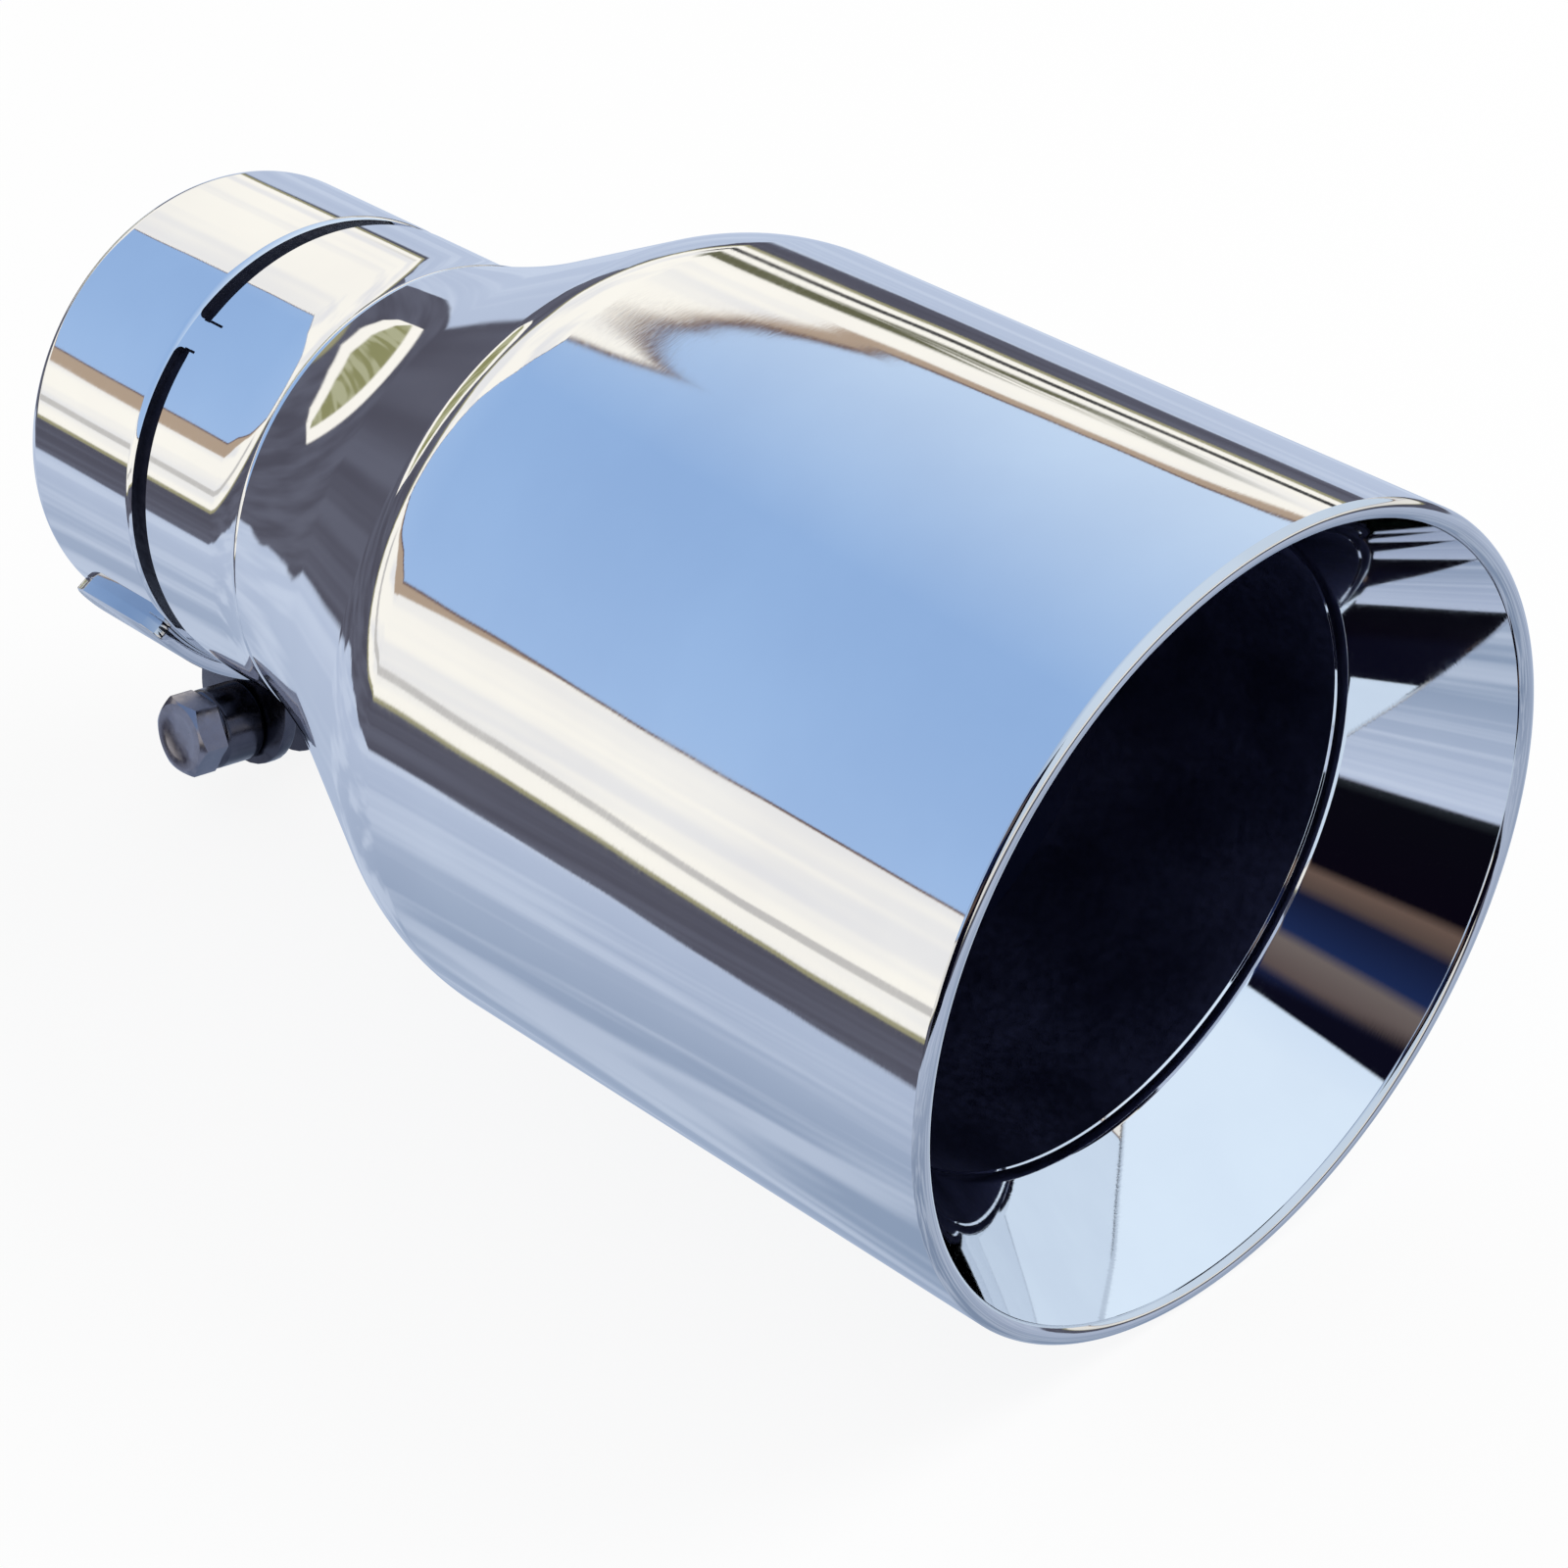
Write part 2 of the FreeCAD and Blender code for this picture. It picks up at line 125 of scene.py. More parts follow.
# Screw line
SCREW_X = 11 * MM
SCREW_DROP = 42.5 * MM
SCREW_R = 3 * MM
SCREW_LENGTH = 28 * MM
SCREW_TIP_R = 2.25 * MM
PLAIN_SHANK = 6 * MM
THREAD_PITCH = 1 * MM
THREAD_DEPTH = 0.55 * MM
THREAD_SLOPE = 2.6
THREAD_CREST = 0.15
THREAD_STEP = 0.125 * MM
THREAD_LEAD = 0.1 * MM
THREAD_STOP = 0.7 * MM
HOLE_R = 3.3 * MM
HOLE_LENGTH = 12 * MM
HEX_ACROSS = 10 * MM
HEX_WORN_R = 5.71 * MM
HEX_RIDGE_R = 4.7 * MM
HEX_BEVEL = math.radians(30)
HEAD_HEIGHT = 4 * MM
NUT_HEIGHT = 5 * MM
NUT_SINK = 0.5 * MM
SPACER_R = 5.5 * MM
SPACER_LENGTH = 6.5 * MM
SPACER_SOFT = 0.8 * MM
WASHER_R = 5.3 * MM
WASHER_HEIGHT = 1.6 * MM
WASHER_CLEAR = 0.1 * MM
WASHER_SOFT = 0.2 * MM
WASHER_GAP = 0.8 * MM
WASHER_SLANT = 0.12
WASHER_ROWS = 72

# Dish in the screw's head, as depths and radii in mm from its middle outwards
DISH = ((0.25, 0.6), (0.22, 2.2), (0.06, 3.2), (0, 3.6))

# Places round a turned piece and round the screw's pieces
RINGS = 288
SPACER_RINGS = 96
SCREW_RINGS = 72


# Nodes and materials

def new_material(name):
    """New material with its node tree and its shader."""
    material = bpy.data.materials.new(name)
    material.use_nodes = True
    tree = material.node_tree
    shader = tree.nodes["Principled BSDF"]
    return material, tree, shader


def add_node(tree, kind, links=None, **settings):
    """Node with its settings, and inputs given as sockets or plain values."""
    node = tree.nodes.new(kind)
    for key, value in settings.items():
        setattr(node, key, value)
    for key, value in (links or {}).items():
        if isinstance(value, bpy.types.NodeSocket):
            tree.links.new(value, node.inputs[key])
        else:
            node.inputs[key].default_value = value
    return node


def ramp(tree, factor, stops):
    """Colour ramp on a factor: stops are (place, colour) pairs in rising order."""
    node = add_node(tree, "ShaderNodeValToRGB", {"Fac": factor})
    elements = node.color_ramp.elements
    elements.remove(elements[1])
    elements[0].position = stops[0][0]
    elements[0].color = (*stops[0][1], 1)
    for place, colour in stops[1:]:
        elements.new(place).color = (*colour, 1)
    return node.outputs["Color"]


def maths(tree, operation, first, second=0.0, third=0.0):
    """Result of a maths node on sockets or numbers."""
    node = add_node(tree, "ShaderNodeMath", {0: first, 1: second, 2: third}, operation=operation)
    return node.outputs["Value"]


def spread(tree, value, low, high, out_low=0.0, out_high=1.0, curve="LINEAR"):
    """Value carried over from one range to another, and held at its ends."""
    links = {"Value": value, "From Min": low, "From Max": high, "To Min": out_low, "To Max": out_high}
    return add_node(tree, "ShaderNodeMapRange", links, interpolation_type=curve).outputs["Result"]


def noise(tree, place, scale, stretch=None, detail=2):
    """Noise at a place, stretched along the axes where asked."""
    if stretch:
        links = {"Vector": place, "Scale": stretch}
        place = add_node(tree, "ShaderNodeMapping", links).outputs["Vector"]
    links = {"Vector": place, "Scale": scale, "Detail": detail}
    return add_node(tree, "ShaderNodeTexNoise", links).outputs["Fac"]


def bump(tree, height, distance, under=None):
    """Normal of a height in metres, over another normal where one is given."""
    links = {"Height": height, "Strength": 1, "Distance": distance}
    if under:
        links["Normal"] = under
    return add_node(tree, "ShaderNodeBump", links).outputs["Normal"]


def metal(name, light, dark, smooth, rough, pits, wave=0.0, grain=(1, 1, 1)):
    """Metal whose tone and roughness drift softly, with a grain of fine pits, over a slow wave if asked."""
    material, tree, shader = new_material(name)
    place = add_node(tree, "ShaderNodeTexCoord").outputs["Object"]
    drift = noise(tree, place, scale=45, detail=4)
    lines = noise(tree, place, scale=900, stretch=grain, detail=3)
    tone = ramp(tree, drift, ((0.35, dark), (0.65, light)))
    haze = maths(tree, "MULTIPLY", drift, lines)
    sheen = spread(tree, haze, low=0.15, high=0.4, out_low=smooth, out_high=rough)
    slow = bump(tree, noise(tree, place, scale=38, detail=1), wave) if wave else None
    tree.links.new(tone, shader.inputs["Base Color"])
    tree.links.new(sheen, shader.inputs["Roughness"])
    tree.links.new(bump(tree, lines, pits, slow), shader.inputs["Normal"])
    shader.inputs["Metallic"].default_value = 1
    return material


POLISHED = metal("polished_steel", (0.87, 0.88, 0.90), (0.83, 0.84, 0.87), 0.015, 0.06,
                 pits=0.0006 * MM, wave=0.06 * MM, grain=(6, 1, 1))
RIM_STEEL = metal("rim_steel", (0.72, 0.73, 0.76), (0.64, 0.65, 0.68), 0.03, 0.09,
                  pits=0.0008 * MM, wave=0.03 * MM)
# Inner faces: rough steel whose dark navy tone is painted shade
INSIDE_SHADE = metal("inside_painted_shade", (0.10, 0.105, 0.21), (0.06, 0.062, 0.13), 0.45, 0.65, pits=0.01 * MM)
# Near-black liner: painted shade seen through the slot
LINER_SHADE = metal("liner_painted_shade", (0.02, 0.02, 0.035), (0.01, 0.01, 0.02), 0.5, 0.7, pits=0.01 * MM)
EAR_STEEL = metal("ear_steel", (0.66, 0.68, 0.73), (0.54, 0.56, 0.61), 0.05, 0.16,
                  pits=0.001 * MM, wave=0.03 * MM, grain=(1, 6, 6))
SCREW_STEEL = metal("screw_steel", (0.34, 0.33, 0.38), (0.20, 0.19, 0.23), 0.12, 0.28,
                    pits=0.002 * MM, wave=0.02 * MM)
# Dark steel of the nut, spacer and washer, also laid on the ears' flanges as painted shade
DARK_STEEL_AND_FLANGE_SHADE = metal("dark_steel_and_flange_shade", (0.12, 0.12, 0.15), (0.06, 0.06, 0.08), 0.16, 0.34,
                   pits=0.003 * MM, wave=0.02 * MM)


# Turned pieces

class Outline:
    """Profile drawn by a pen in the plane of length and radius, with the material on the pen's right."""

    def __init__(self, along, out, heading=0):
        self.place = Vector((along, out))
        self.heading = math.radians(heading)
        self.runs = []
        self.corner(0)

    def mark(self):
        """Note the pen's place and the outward normal there."""
        normal = (-math.sin(self.heading), math.cos(self.heading))
        self.runs[-1].append((self.place.copy(), normal))

    def corner(self, angle):
        """Turn on the spot, outwards for a positive angle, and start a run with a hard edge."""
        self.heading += math.radians(angle)
        self.runs.append([])
        self.mark()
        return self

    def line_to(self, along, out, steps=1):
        """Hard edge and then a straight run to a place."""
        way = Vector((along, out)) - self.place
        self.corner(math.degrees(math.atan2(way.y, way.x) - self.heading))
        return self.ahead(way.length, steps)

    def ahead(self, length, steps=1):
        """Straight run the way the pen is heading."""
        step = Vector((math.cos(self.heading), math.sin(self.heading))) * (length / steps)
        for _ in range(steps):
            self.place = self.place + step
            self.mark()
        return self

    def bend(self, radius, angle, steps):
        """Arc that turns outwards for a positive angle."""
        turn = math.radians(angle) / steps
        chord = 2 * radius * math.sin(abs(turn) / 2)
        for _ in range(steps):
            middle = self.heading + turn / 2
            self.place = self.place + Vector((math.cos(middle), math.sin(middle))) * chord
            self.heading += turn
            self.mark()
        return self


def finish_mesh(name, verts, faces, materials, nodes, normals=None, marks=None):
    """Piece that rides and stands for its CAD nodes.

    Its corner normals are given, or else its edges are hard by their angle."""
    mesh = bpy.data.meshes.new(name)
    mesh.from_pydata([tuple(vert) for vert in verts], [], faces)
    for material in materials:
        mesh.materials.append(material)
    if marks:
        mesh.polygons.foreach_set("material_index", marks)
    mesh.polygons.foreach_set("use_smooth", [True] * len(mesh.polygons))
    if normals:
        mesh.normals_split_custom_set([tuple(normal) for normal in normals])
    else:
        mesh.set_sharp_from_angle(angle=HARD_EDGE)
    mesh.update()
    piece = bpy.data.objects.new(name, mesh)
    bpy.context.scene.collection.objects.link(piece)
    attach(piece, "root")
    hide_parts(*nodes)
    return piece


def turned(name, outline, nodes, materials=(POLISHED,), marks=None, rings=RINGS,
           stretch=None, frame_at=None):
    """Piece turned about the X axis from a closed profile.

    marks gives each run's material, stretch moves a point along the axis by its turn, and frame_at is
    the matrix that sets the turned piece in place."""
    points = [outline.runs[0][0][0]]
    for run in outline.runs:
        points += [spot for spot, _ in run[1:]]
    points.pop()
    count = len(points)
    frame_at = frame_at or Matrix.Identity(4)
    turn_normals = frame_at.to_3x3().inverted().transposed()
    turns = [2 * math.pi * ring / rings for ring in range(rings)]
    verts, faces, normals, face_marks = [], [], [], []
    for turn in turns:
        for spot in points:
            along = stretch(spot.x, turn) if stretch else spot.x
            verts.append(frame_at @ Vector((along, spot.y * math.cos(turn), spot.y * math.sin(turn))))
    number = 0
    for index, run in enumerate(outline.runs):
        for (_, first), (_, second) in zip(run, run[1:]):
            here, there = number % count, (number + 1) % count
            number += 1
            for ring in range(rings):
                after = (ring + 1) % rings
                corners = ((ring, here, first), (after, here, first),
                           (after, there, second), (ring, there, second))
                faces.append([at * count + point for at, point, _ in corners])
                for at, _, (along, out) in corners:
                    normal = Vector((along, out * math.cos(turns[at]), out * math.sin(turns[at])))
                    normals.append((turn_normals @ normal).normalized())
                face_marks.append(marks[index] if marks else 0)
    return finish_mesh(name, verts, faces, materials, nodes, normals, face_marks)


def shell_sheet():
    """Rest of the flare, flank, shoulder and drum, in one sheet whose end follows the slant."""
    lean, angle = math.radians(SEAM_LEAN), math.radians(FLANK_ANGLE)
    bends_up = NECK_BEND * (math.cos(lean) - math.cos(angle)) + SHOULDER_BEND * (1 - math.cos(angle))
    bends_along = NECK_BEND * (math.sin(angle) - math.sin(lean)) + SHOULDER_BEND * math.sin(angle)
    flank = (DRUM_R - SEAM_R - bends_up) / math.sin(angle)
    drum_x = SEAM_X + bends_along + flank * math.cos(angle)
    drum = RIM_X - drum_x
    outline = Outline(SEAM_X, SEAM_R, SEAM_LEAN)
    outline.bend(NECK_BEND, FLANK_ANGLE - SEAM_LEAN, steps=20).ahead(flank, steps=12)
    outline.bend(SHOULDER_BEND, -FLANK_ANGLE, steps=16).ahead(drum, steps=24)
    outline.corner(-90).ahead(WALL)
    outline.corner(-90).ahead(drum, steps=12)
    outline.bend(SHOULDER_BEND - WALL, FLANK_ANGLE, steps=8).ahead(flank, steps=4)
    outline.bend(NECK_BEND + WALL, SEAM_LEAN - FLANK_ANGLE, steps=10)
    outline.corner(-90).ahead(WALL)

    def stretch(along, turn):
        share = max(0.0, (along - drum_x) / drum)
        return along + share * DRUM_R * math.tan(SLANT_ANGLE) * math.cos(turn - SLANT_TURN)

    # The drum's inner face takes the inside's painted shade
    return turned("shell_sheet", outline, ["outer_shell"], materials=(POLISHED, INSIDE_SHADE),
                  marks=(0, 0, 1, 0), stretch=stretch)


def rim_frame():
    """Frame of the rim's plane, stretched so that its circle meets the drum's slanted end."""
    axis = Vector((0, math.sin(SLANT_TURN), -math.cos(SLANT_TURN)))
    long_side = Vector((0, math.cos(SLANT_TURN), math.sin(SLANT_TURN)))
    grow = Matrix.Scale(1 / math.cos(SLANT_ANGLE), 4, long_side)
    return Matrix.Translation((RIM_X, 0, 0)) @ Matrix.Rotation(SLANT_ANGLE, 4, axis) @ grow


def inner_liner():
    """Inner sheet: a bevel that rolls over into the throat's land, a small step and a dark sleeve; land,
    step and sleeve are dark with painted shade.
    """
    rim_r = DRUM_R - 2 * WALL
    bevel = math.atan2(rim_r - THROAT_R, BEVEL_DEPTH)
    step = math.atan2(THROAT_R - SLEEVE_R, STEP_RUN)
    roll = LAND_ROUND * math.tan(bevel / 2)
    valley = VALLEY_ROUND * math.tan(step / 2)
    lip = LIP_ROUND * math.tan(step / 2)
    bevel_run = math.hypot(BEVEL_DEPTH, rim_r - THROAT_R)
    step_run = math.hypot(STEP_RUN, THROAT_R - SLEEVE_R)
    step_x = BEVEL_DEPTH + LAND_RUN + STEP_RUN
    half_step = math.degrees(step) / 2
    outline = Outline(0, rim_r, 180 + math.degrees(bevel))
    outline.ahead(bevel_run - roll, steps=16).bend(LAND_ROUND, -math.degrees(bevel), steps=10)
    outline.ahead(LAND_RUN - roll - valley).bend(VALLEY_ROUND, math.degrees(step), steps=6)
    outline.ahead(step_run - valley - lip, steps=2).bend(LIP_ROUND, -half_step, steps=5)
    outline.corner(0).bend(LIP_ROUND, -half_step, steps=5).ahead(SLEEVE_END - step_x - lip, steps=8)
    behind = WALL / 4
    outline.line_to(-SLEEVE_END, SLEEVE_R + WALL).line_to(-step_x - behind, SLEEVE_R + WALL)
    outline.line_to(-BEVEL_DEPTH - LAND_RUN - behind, THROAT_R + WALL)
    outline.line_to(-BEVEL_DEPTH - behind, THROAT_R + WALL).line_to(0, rim_r + WALL).line_to(0, rim_r)
    return turned("inner_liner", outline, ["inner_wall"], materials=(POLISHED, INSIDE_SHADE),
                  marks=(0, 1, 1, 1, 1, 1, 1, 1), frame_at=rim_frame())


def rim_bead():
    """Polished bead with a round crown over the ends of the two sheets."""
    radius = (RIM_CROWN ** 2 + WALL ** 2) / (2 * RIM_CROWN)
    half_turn = math.degrees(math.asin(WALL / radius))
    outline = Outline(0, DRUM_R, half_turn - 90)
    outline.bend(radius, -2 * half_turn, steps=20).line_to(0, DRUM_R)
    return turned("rim_bead", outline, ["rim_weld"], materials=(RIM_STEEL,), frame_at=rim_frame())


def neck_bead():
    """Low polished bead over the joint of neck and collar."""
    radius = (BEAD_HEIGHT ** 2 + BEAD_HALF ** 2) / (2 * BEAD_HEIGHT)
    half_turn = math.degrees(math.asin(BEAD_HALF / radius))
    lean = math.radians(SEAM_LEAN)
    foot = (SEAM_X - BEAD_HALF * math.cos(lean), SEAM_R - BEAD_HALF * math.sin(lean))
    outline = Outline(*foot, SEAM_LEAN + half_turn)
    outline.bend(radius, -2 * half_turn, steps=12).line_to(*foot)
    return turned("neck_bead", outline, ["neck_weld"])


# Clamp band

def as_object(name, shape):
    """Object, not yet in the scene, from a bmesh that is then freed."""
    mesh = bpy.data.meshes.new(name)
    shape.to_mesh(mesh)
    shape.free()
    return bpy.data.objects.new(name, mesh)


def ribbon(arcs, low, high, inner=0.9 * COLLAR_R, outer=1.1 * COLLAR_R):
    """Block that wraps the collar, from low(arc) to high(arc) along it at each arc length.

    Arc lengths are taken round the collar from its bottom."""
    block = bmesh.new()
    rows = []
    for arc in arcs:
        turn = arc / COLLAR_R - math.pi / 2
        row = []
        start, end = low(arc), high(arc)
        for along, radius in ((start, inner), (end, inner), (end, outer), (start, outer)):
            out = Vector((0, math.cos(turn), math.sin(turn))) * radius
            row.append(block.verts.new(CLAMP_FRAME @ (out + Vector((along, 0, 0)))))
        rows.append(row)
    for first, second in zip(rows, rows[1:]):
        for side in range(4):
            after = (side + 1) % 4
            block.faces.new((first[side], first[after], second[after], second[side]))
    block.faces.new(rows[0])
    block.faces.new(rows[-1][::-1])
    bmesh.ops.recalc_face_normals(block, faces=block.faces)
    return as_object("ribbon", block)


def spaced(start, end, step=0.7 * MM):
    """Even places from start to end."""
    count = max(1, round((end - start) / step))
    return [start + (end - start) * number / count for number in range(count + 1)]


def crowded(radius):
    """Distances from a round corner's start, closest where it is steepest."""
    return [radius * (1 - math.cos(math.radians(turn))) for turn in range(0, 90, 15)]


def eased(start, end, radius):
    """Places from start to end that crowd where the ends are rounded."""
    corner = crowded(radius)
    return ([start + part for part in corner] + spaced(start + radius, end - radius)
            + [end - part for part in reversed(corner)])


def rounding(distance, radius=CORNER_ROUND):
    """How far a round corner stands back from its edge, at a distance from the corner."""
    if distance >= radius:
        return 0.0
    return radius - math.sqrt(max(0.0, radius ** 2 - (radius - max(distance, 0.0)) ** 2))


def seal_strip():
    """Thin split liner in the bore that closes the slot from inside, near black as painted shade."""
    bore = COLLAR_R - WALL
    places = spaced(SPLIT_GAP, 2 * math.pi * COLLAR_R - SPLIT_GAP)
    piece = ribbon(places, lambda _: STRIP_START, lambda _: STRIP_END, bore - STRIP_WALL, bore)
    piece.name = piece.data.name = "seal_strip"
    piece.data.materials.append(LINER_SHADE)
    piece.data.polygons.foreach_set("use_smooth", [True] * len(piece.data.polygons))
    piece.data.set_sharp_from_angle(angle=HARD_EDGE)
    bpy.context.scene.collection.objects.link(piece)
    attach(piece, "root")


def slot_cutter(start, end, flare=0.0):
    """Slot between two arc lengths, with rounded ends, that may widen towards its middle."""
    def low(arc):
        return BAND_WIDTH + rounding(min(arc - start, end - arc))

    def high(arc):
        wider = flare * math.sin(math.pi * (arc - start) / (end - start)) ** 2
        return BAND_WIDTH + SLOT_WIDTH + wider - rounding(min(arc - start, end - arc))

    return ribbon(eased(start, end, CORNER_ROUND), low, high)


def split_cutters():
    """Split through the band and the round corners that it leaves at both ends."""
    half = SPLIT_GAP / 2
    in_slot = BAND_WIDTH + SLOT_WIDTH / 2
    side = [half + part for part in (*crowded(CORNER_ROUND), CORNER_ROUND)]
    wide = [-arc for arc in reversed(side)] + side

    def depth(arc):
        return rounding(abs(arc) - half) + CUT_OVERLAP

    yield ribbon(spaced(-half, half), lambda arc: -CUT_BEYOND, lambda arc: in_slot)
    yield ribbon(wide, lambda arc: -CUT_BEYOND, depth)
    yield ribbon(wide, lambda arc: BAND_WIDTH - depth(arc), lambda arc: in_slot)


def relief_cutters(low_end, high_end):
    """Short cuts along the sheet from the corners of each bridge, the longer one above it."""
    start = BAND_WIDTH + SLOT_WIDTH / 2
    for side in (-1, 1):
        for arc, length in ((high_end, RELIEF_LENGTH), (low_end, RELIEF_LENGTH / 3)):
            places = [side * arc - RELIEF_WIDTH / 2, side * arc + RELIEF_WIDTH / 2]
            end = BAND_WIDTH + SLOT_WIDTH + length
            yield ribbon(places, lambda _: start, lambda _, end=end: end)


def cut_with(piece, cutters):
    """Cut each cutter out of the piece's mesh."""
    for cutter in cutters:
        bpy.context.scene.collection.objects.link(cutter)
        modifier = piece.modifiers.new("cut", "BOOLEAN")
        modifier.operation = "DIFFERENCE"
        modifier.solver = "EXACT"
        modifier.object = cutter
        graph = bpy.context.evaluated_depsgraph_get()
        mesh = bpy.data.meshes.new_from_object(piece.evaluated_get(graph))
        piece.modifiers.clear()
        piece.data = mesh
        bpy.data.objects.remove(cutter)


def collar_outline():
    """Section of the tube: the band's rolled edges, a lower run that the slot takes away, and the flare."""
    roll = 2 * math.atan2(EDGE_DROP, EDGE_RUN)
    round_r = EDGE_RUN / math.sin(roll)
    roll = math.degrees(roll)
    clear = 0.06 * MM
    rise = 4 * clear
    outline = Outline(0, COLLAR_R - EDGE_DROP, roll)
    outline.bend(round_r, -roll, steps=8)
    outline.ahead(BAND_WIDTH + clear - 2 * EDGE_RUN, steps=6).bend(round_r, -roll, steps=8)
    outline.corner(roll).ahead(SLOT_WIDTH - rise - 2 * clear)
    outline.line_to(BAND_WIDTH + SLOT_WIDTH - clear, COLLAR_R)
    outline.line_to(FLARE_START, COLLAR_R, steps=3).bend(COLLAR_BEND, SEAM_LEAN, steps=10)
    outline.corner(-90).ahead(WALL)
    outline.corner(-90).bend(COLLAR_BEND + WALL, -SEAM_LEAN, steps=6).ahead(FLARE_START, steps=6)
    return outline.line_to(0, COLLAR_R - EDGE_DROP)


def collar_band():
    """Tube whose end is a band: slotted round but for two bridges, and split at the bottom."""
    outline = collar_outline()
    # The collar's bore takes the inside's painted shade
    piece = turned("collar_band", outline, ["inlet_collar"], materials=(POLISHED, INSIDE_SHADE),
                   marks=(0, 0, 0, 0, 0, 1, 1))
    half_bridge = math.asin(BRIDGE_WIDTH / 2 / COLLAR_R)
    bridge = math.pi - math.radians(BRIDGE_TURN)
    low_end = (bridge - half_bridge) * COLLAR_R
    high_end = (bridge + half_bridge) * COLLAR_R
    whole = 2 * math.pi * COLLAR_R
    slots = [slot_cutter(-low_end, low_end, SLOT_FLARE), slot_cutter(high_end, whole - high_end)]
    cut_with(piece, [*slots, *split_cutters(), *relief_cutters(low_end, high_end)])
    round_normals(piece.data, outline)
    return piece


# How near a place lies to the profile that it is on, and how much it has to face the same way
PROFILE_NEAR = 0.04 * MM
PROFILE_FACING = 0.9


def profile_normal(outline, place, facing):
    """Normal where a place lies on the profile and the profile faces that way, or nothing."""
    found, nearest = None, PROFILE_NEAR
    for run in outline.runs:
        for (first, normal), (second, next_normal) in zip(run, run[1:]):
            way = second - first
            share = min(1.0, max(0.0, (place - first).dot(way) / way.length_squared))
            gap = (first + way * share - place).length
            here = Vector(normal).lerp(Vector(next_normal), share)
            if gap < nearest and here.dot(facing) > PROFILE_FACING:
                found, nearest = here, gap
    return found


def round_normals(mesh, outline):
    """Give what is left of the turned faces their exact normals, and the cut faces their own."""
    normals, known = [], {}
    for face in mesh.polygons:
        out = Vector((0, face.center.y, face.center.z)).normalized()
        facing = Vector((face.normal.x, face.normal.dot(out)))
        found = []
        for index in face.vertices:
            spot = mesh.vertices[index].co
            place = Vector((spot.x, math.hypot(spot.y, spot.z)))
            key = (*(round(part / MM, 3) for part in place), *(round(part, 2) for part in facing))
            if key not in known:
                known[key] = profile_normal(outline, place, facing)
            found.append((spot, known[key]))
        turned_face = all(normal for _, normal in found)
        for spot, normal in found:
            if turned_face:
                away = Vector((0, spot.y, spot.z)).normalized()
                normals.append((away * normal.y + Vector((normal.x, 0, 0))).normalized())
            else:
                normals.append(face.normal.copy())
    mesh.normals_split_custom_set([tuple(normal) for normal in normals])


# Ears

def ear_path(side):
    """Places along the ear's middle, from the foot's end round the bend to the flange's end."""
    middle = EAR_WALL / 2
    foot_r = COLLAR_R + middle
    flange_y = SPLIT_GAP / 2 + middle
    bend_y = flange_y + EAR_BEND
    bend_z = -math.sqrt((foot_r + EAR_BEND) ** 2 - bend_y ** 2)
    wrap = math.radians(EAR_WRAP)
    lean = math.atan2(bend_y, -bend_z)
    path = []
    for step in range(FOOT_ROWS + 1):
        turn = wrap + (lean - wrap) * step / FOOT_ROWS
        path.append(Vector((0, side * math.sin(turn), -math.cos(turn))) * foot_r)
    for step in range(1, BEND_ROWS + 1):
        turn = lean + (math.pi / 2 - lean) * step / BEND_ROWS
        out = bend_y - EAR_BEND * math.sin(turn)
        path.append(Vector((0, side * out, bend_z + EAR_BEND * math.cos(turn))))
    for part in eased(0, EAR_REACH + bend_z, EAR_ROUND / 2)[1:]:
        path.append(Vector((0, side * flange_y, bend_z - part)))
    return [CLAMP_FRAME @ spot for spot in path]


def ear_section(inset):
    """Ring round the ear's section with four softened corners: places along the tip and off the middle."""
    half = EAR_WALL / 2
    left, right = EAR_START + inset, EAR_START + EAR_WIDTH - inset
    part = EAR_SOFT * 0.3
    ring = []
    for edge, way, thick in ((left, 1, -1), (right, -1, -1), (right, -1, 1), (left, 1, 1)):
        corner = [(edge + way * EAR_SOFT, thick * half), (edge + way * part, thick * (half - part)),
                  (edge, thick * (half - EAR_SOFT))]
        ring += reversed(corner) if way * thick < 0 else corner
    return ring


def skin(rows, size, closed=False):
    """Faces over a number of rings of one size, with ends capped unless the rows close."""
    faces = []
    for first in range(rows if closed else rows - 1):
        second = (first + 1) % rows
        for spot in range(size):
            after = (spot + 1) % size
            faces.append((first * size + spot, first * size + after,
                          second * size + after, second * size + spot))
    if not closed:
        faces.append(tuple(range(size - 1, -1, -1)))
        faces.append(tuple(range((rows - 1) * size, rows * size)))
    return faces


def ear(name, node, side):
    """Sheet bent along its path, with round corners and softened edges, and darker past its foot with
    painted shade on the flange.
    """
    path = ear_path(side)
    reach = [0.0]
    for first, second in zip(path, path[1:]):
        reach.append(reach[-1] + (second - first).length)
    verts = []
    for index, spot in enumerate(path):
        before, after = path[max(0, index - 1)], path[min(len(path) - 1, index + 1)]
        across = Vector((1, 0, 0)).cross((after - before).normalized())
        inset = max(rounding(reach[index], FOOT_ROUND), rounding(reach[-1] - reach[index], EAR_ROUND))
        section = ear_section(inset)
        verts += [spot + Vector((along, 0, 0)) + across * off for along, off in section]
    faces = skin(len(path), len(section))
    # Faces past the foot are the flange, dark with painted shade
    marks = [int(face[0] >= FOOT_ROWS * len(section)) for face in faces]
    piece = finish_mesh(name, verts, faces, (EAR_STEEL, DARK_STEEL_AND_FLANGE_SHADE), [node], marks=marks)
    shape = bmesh.new()
    shape.from_mesh(piece.data)
    bmesh.ops.recalc_face_normals(shape, faces=shape.faces)
    shape.to_mesh(piece.data)
    shape.free()
    cut_with(piece, [screw_hole()])
    piece.data.set_sharp_from_angle(angle=HARD_EDGE)
    return piece


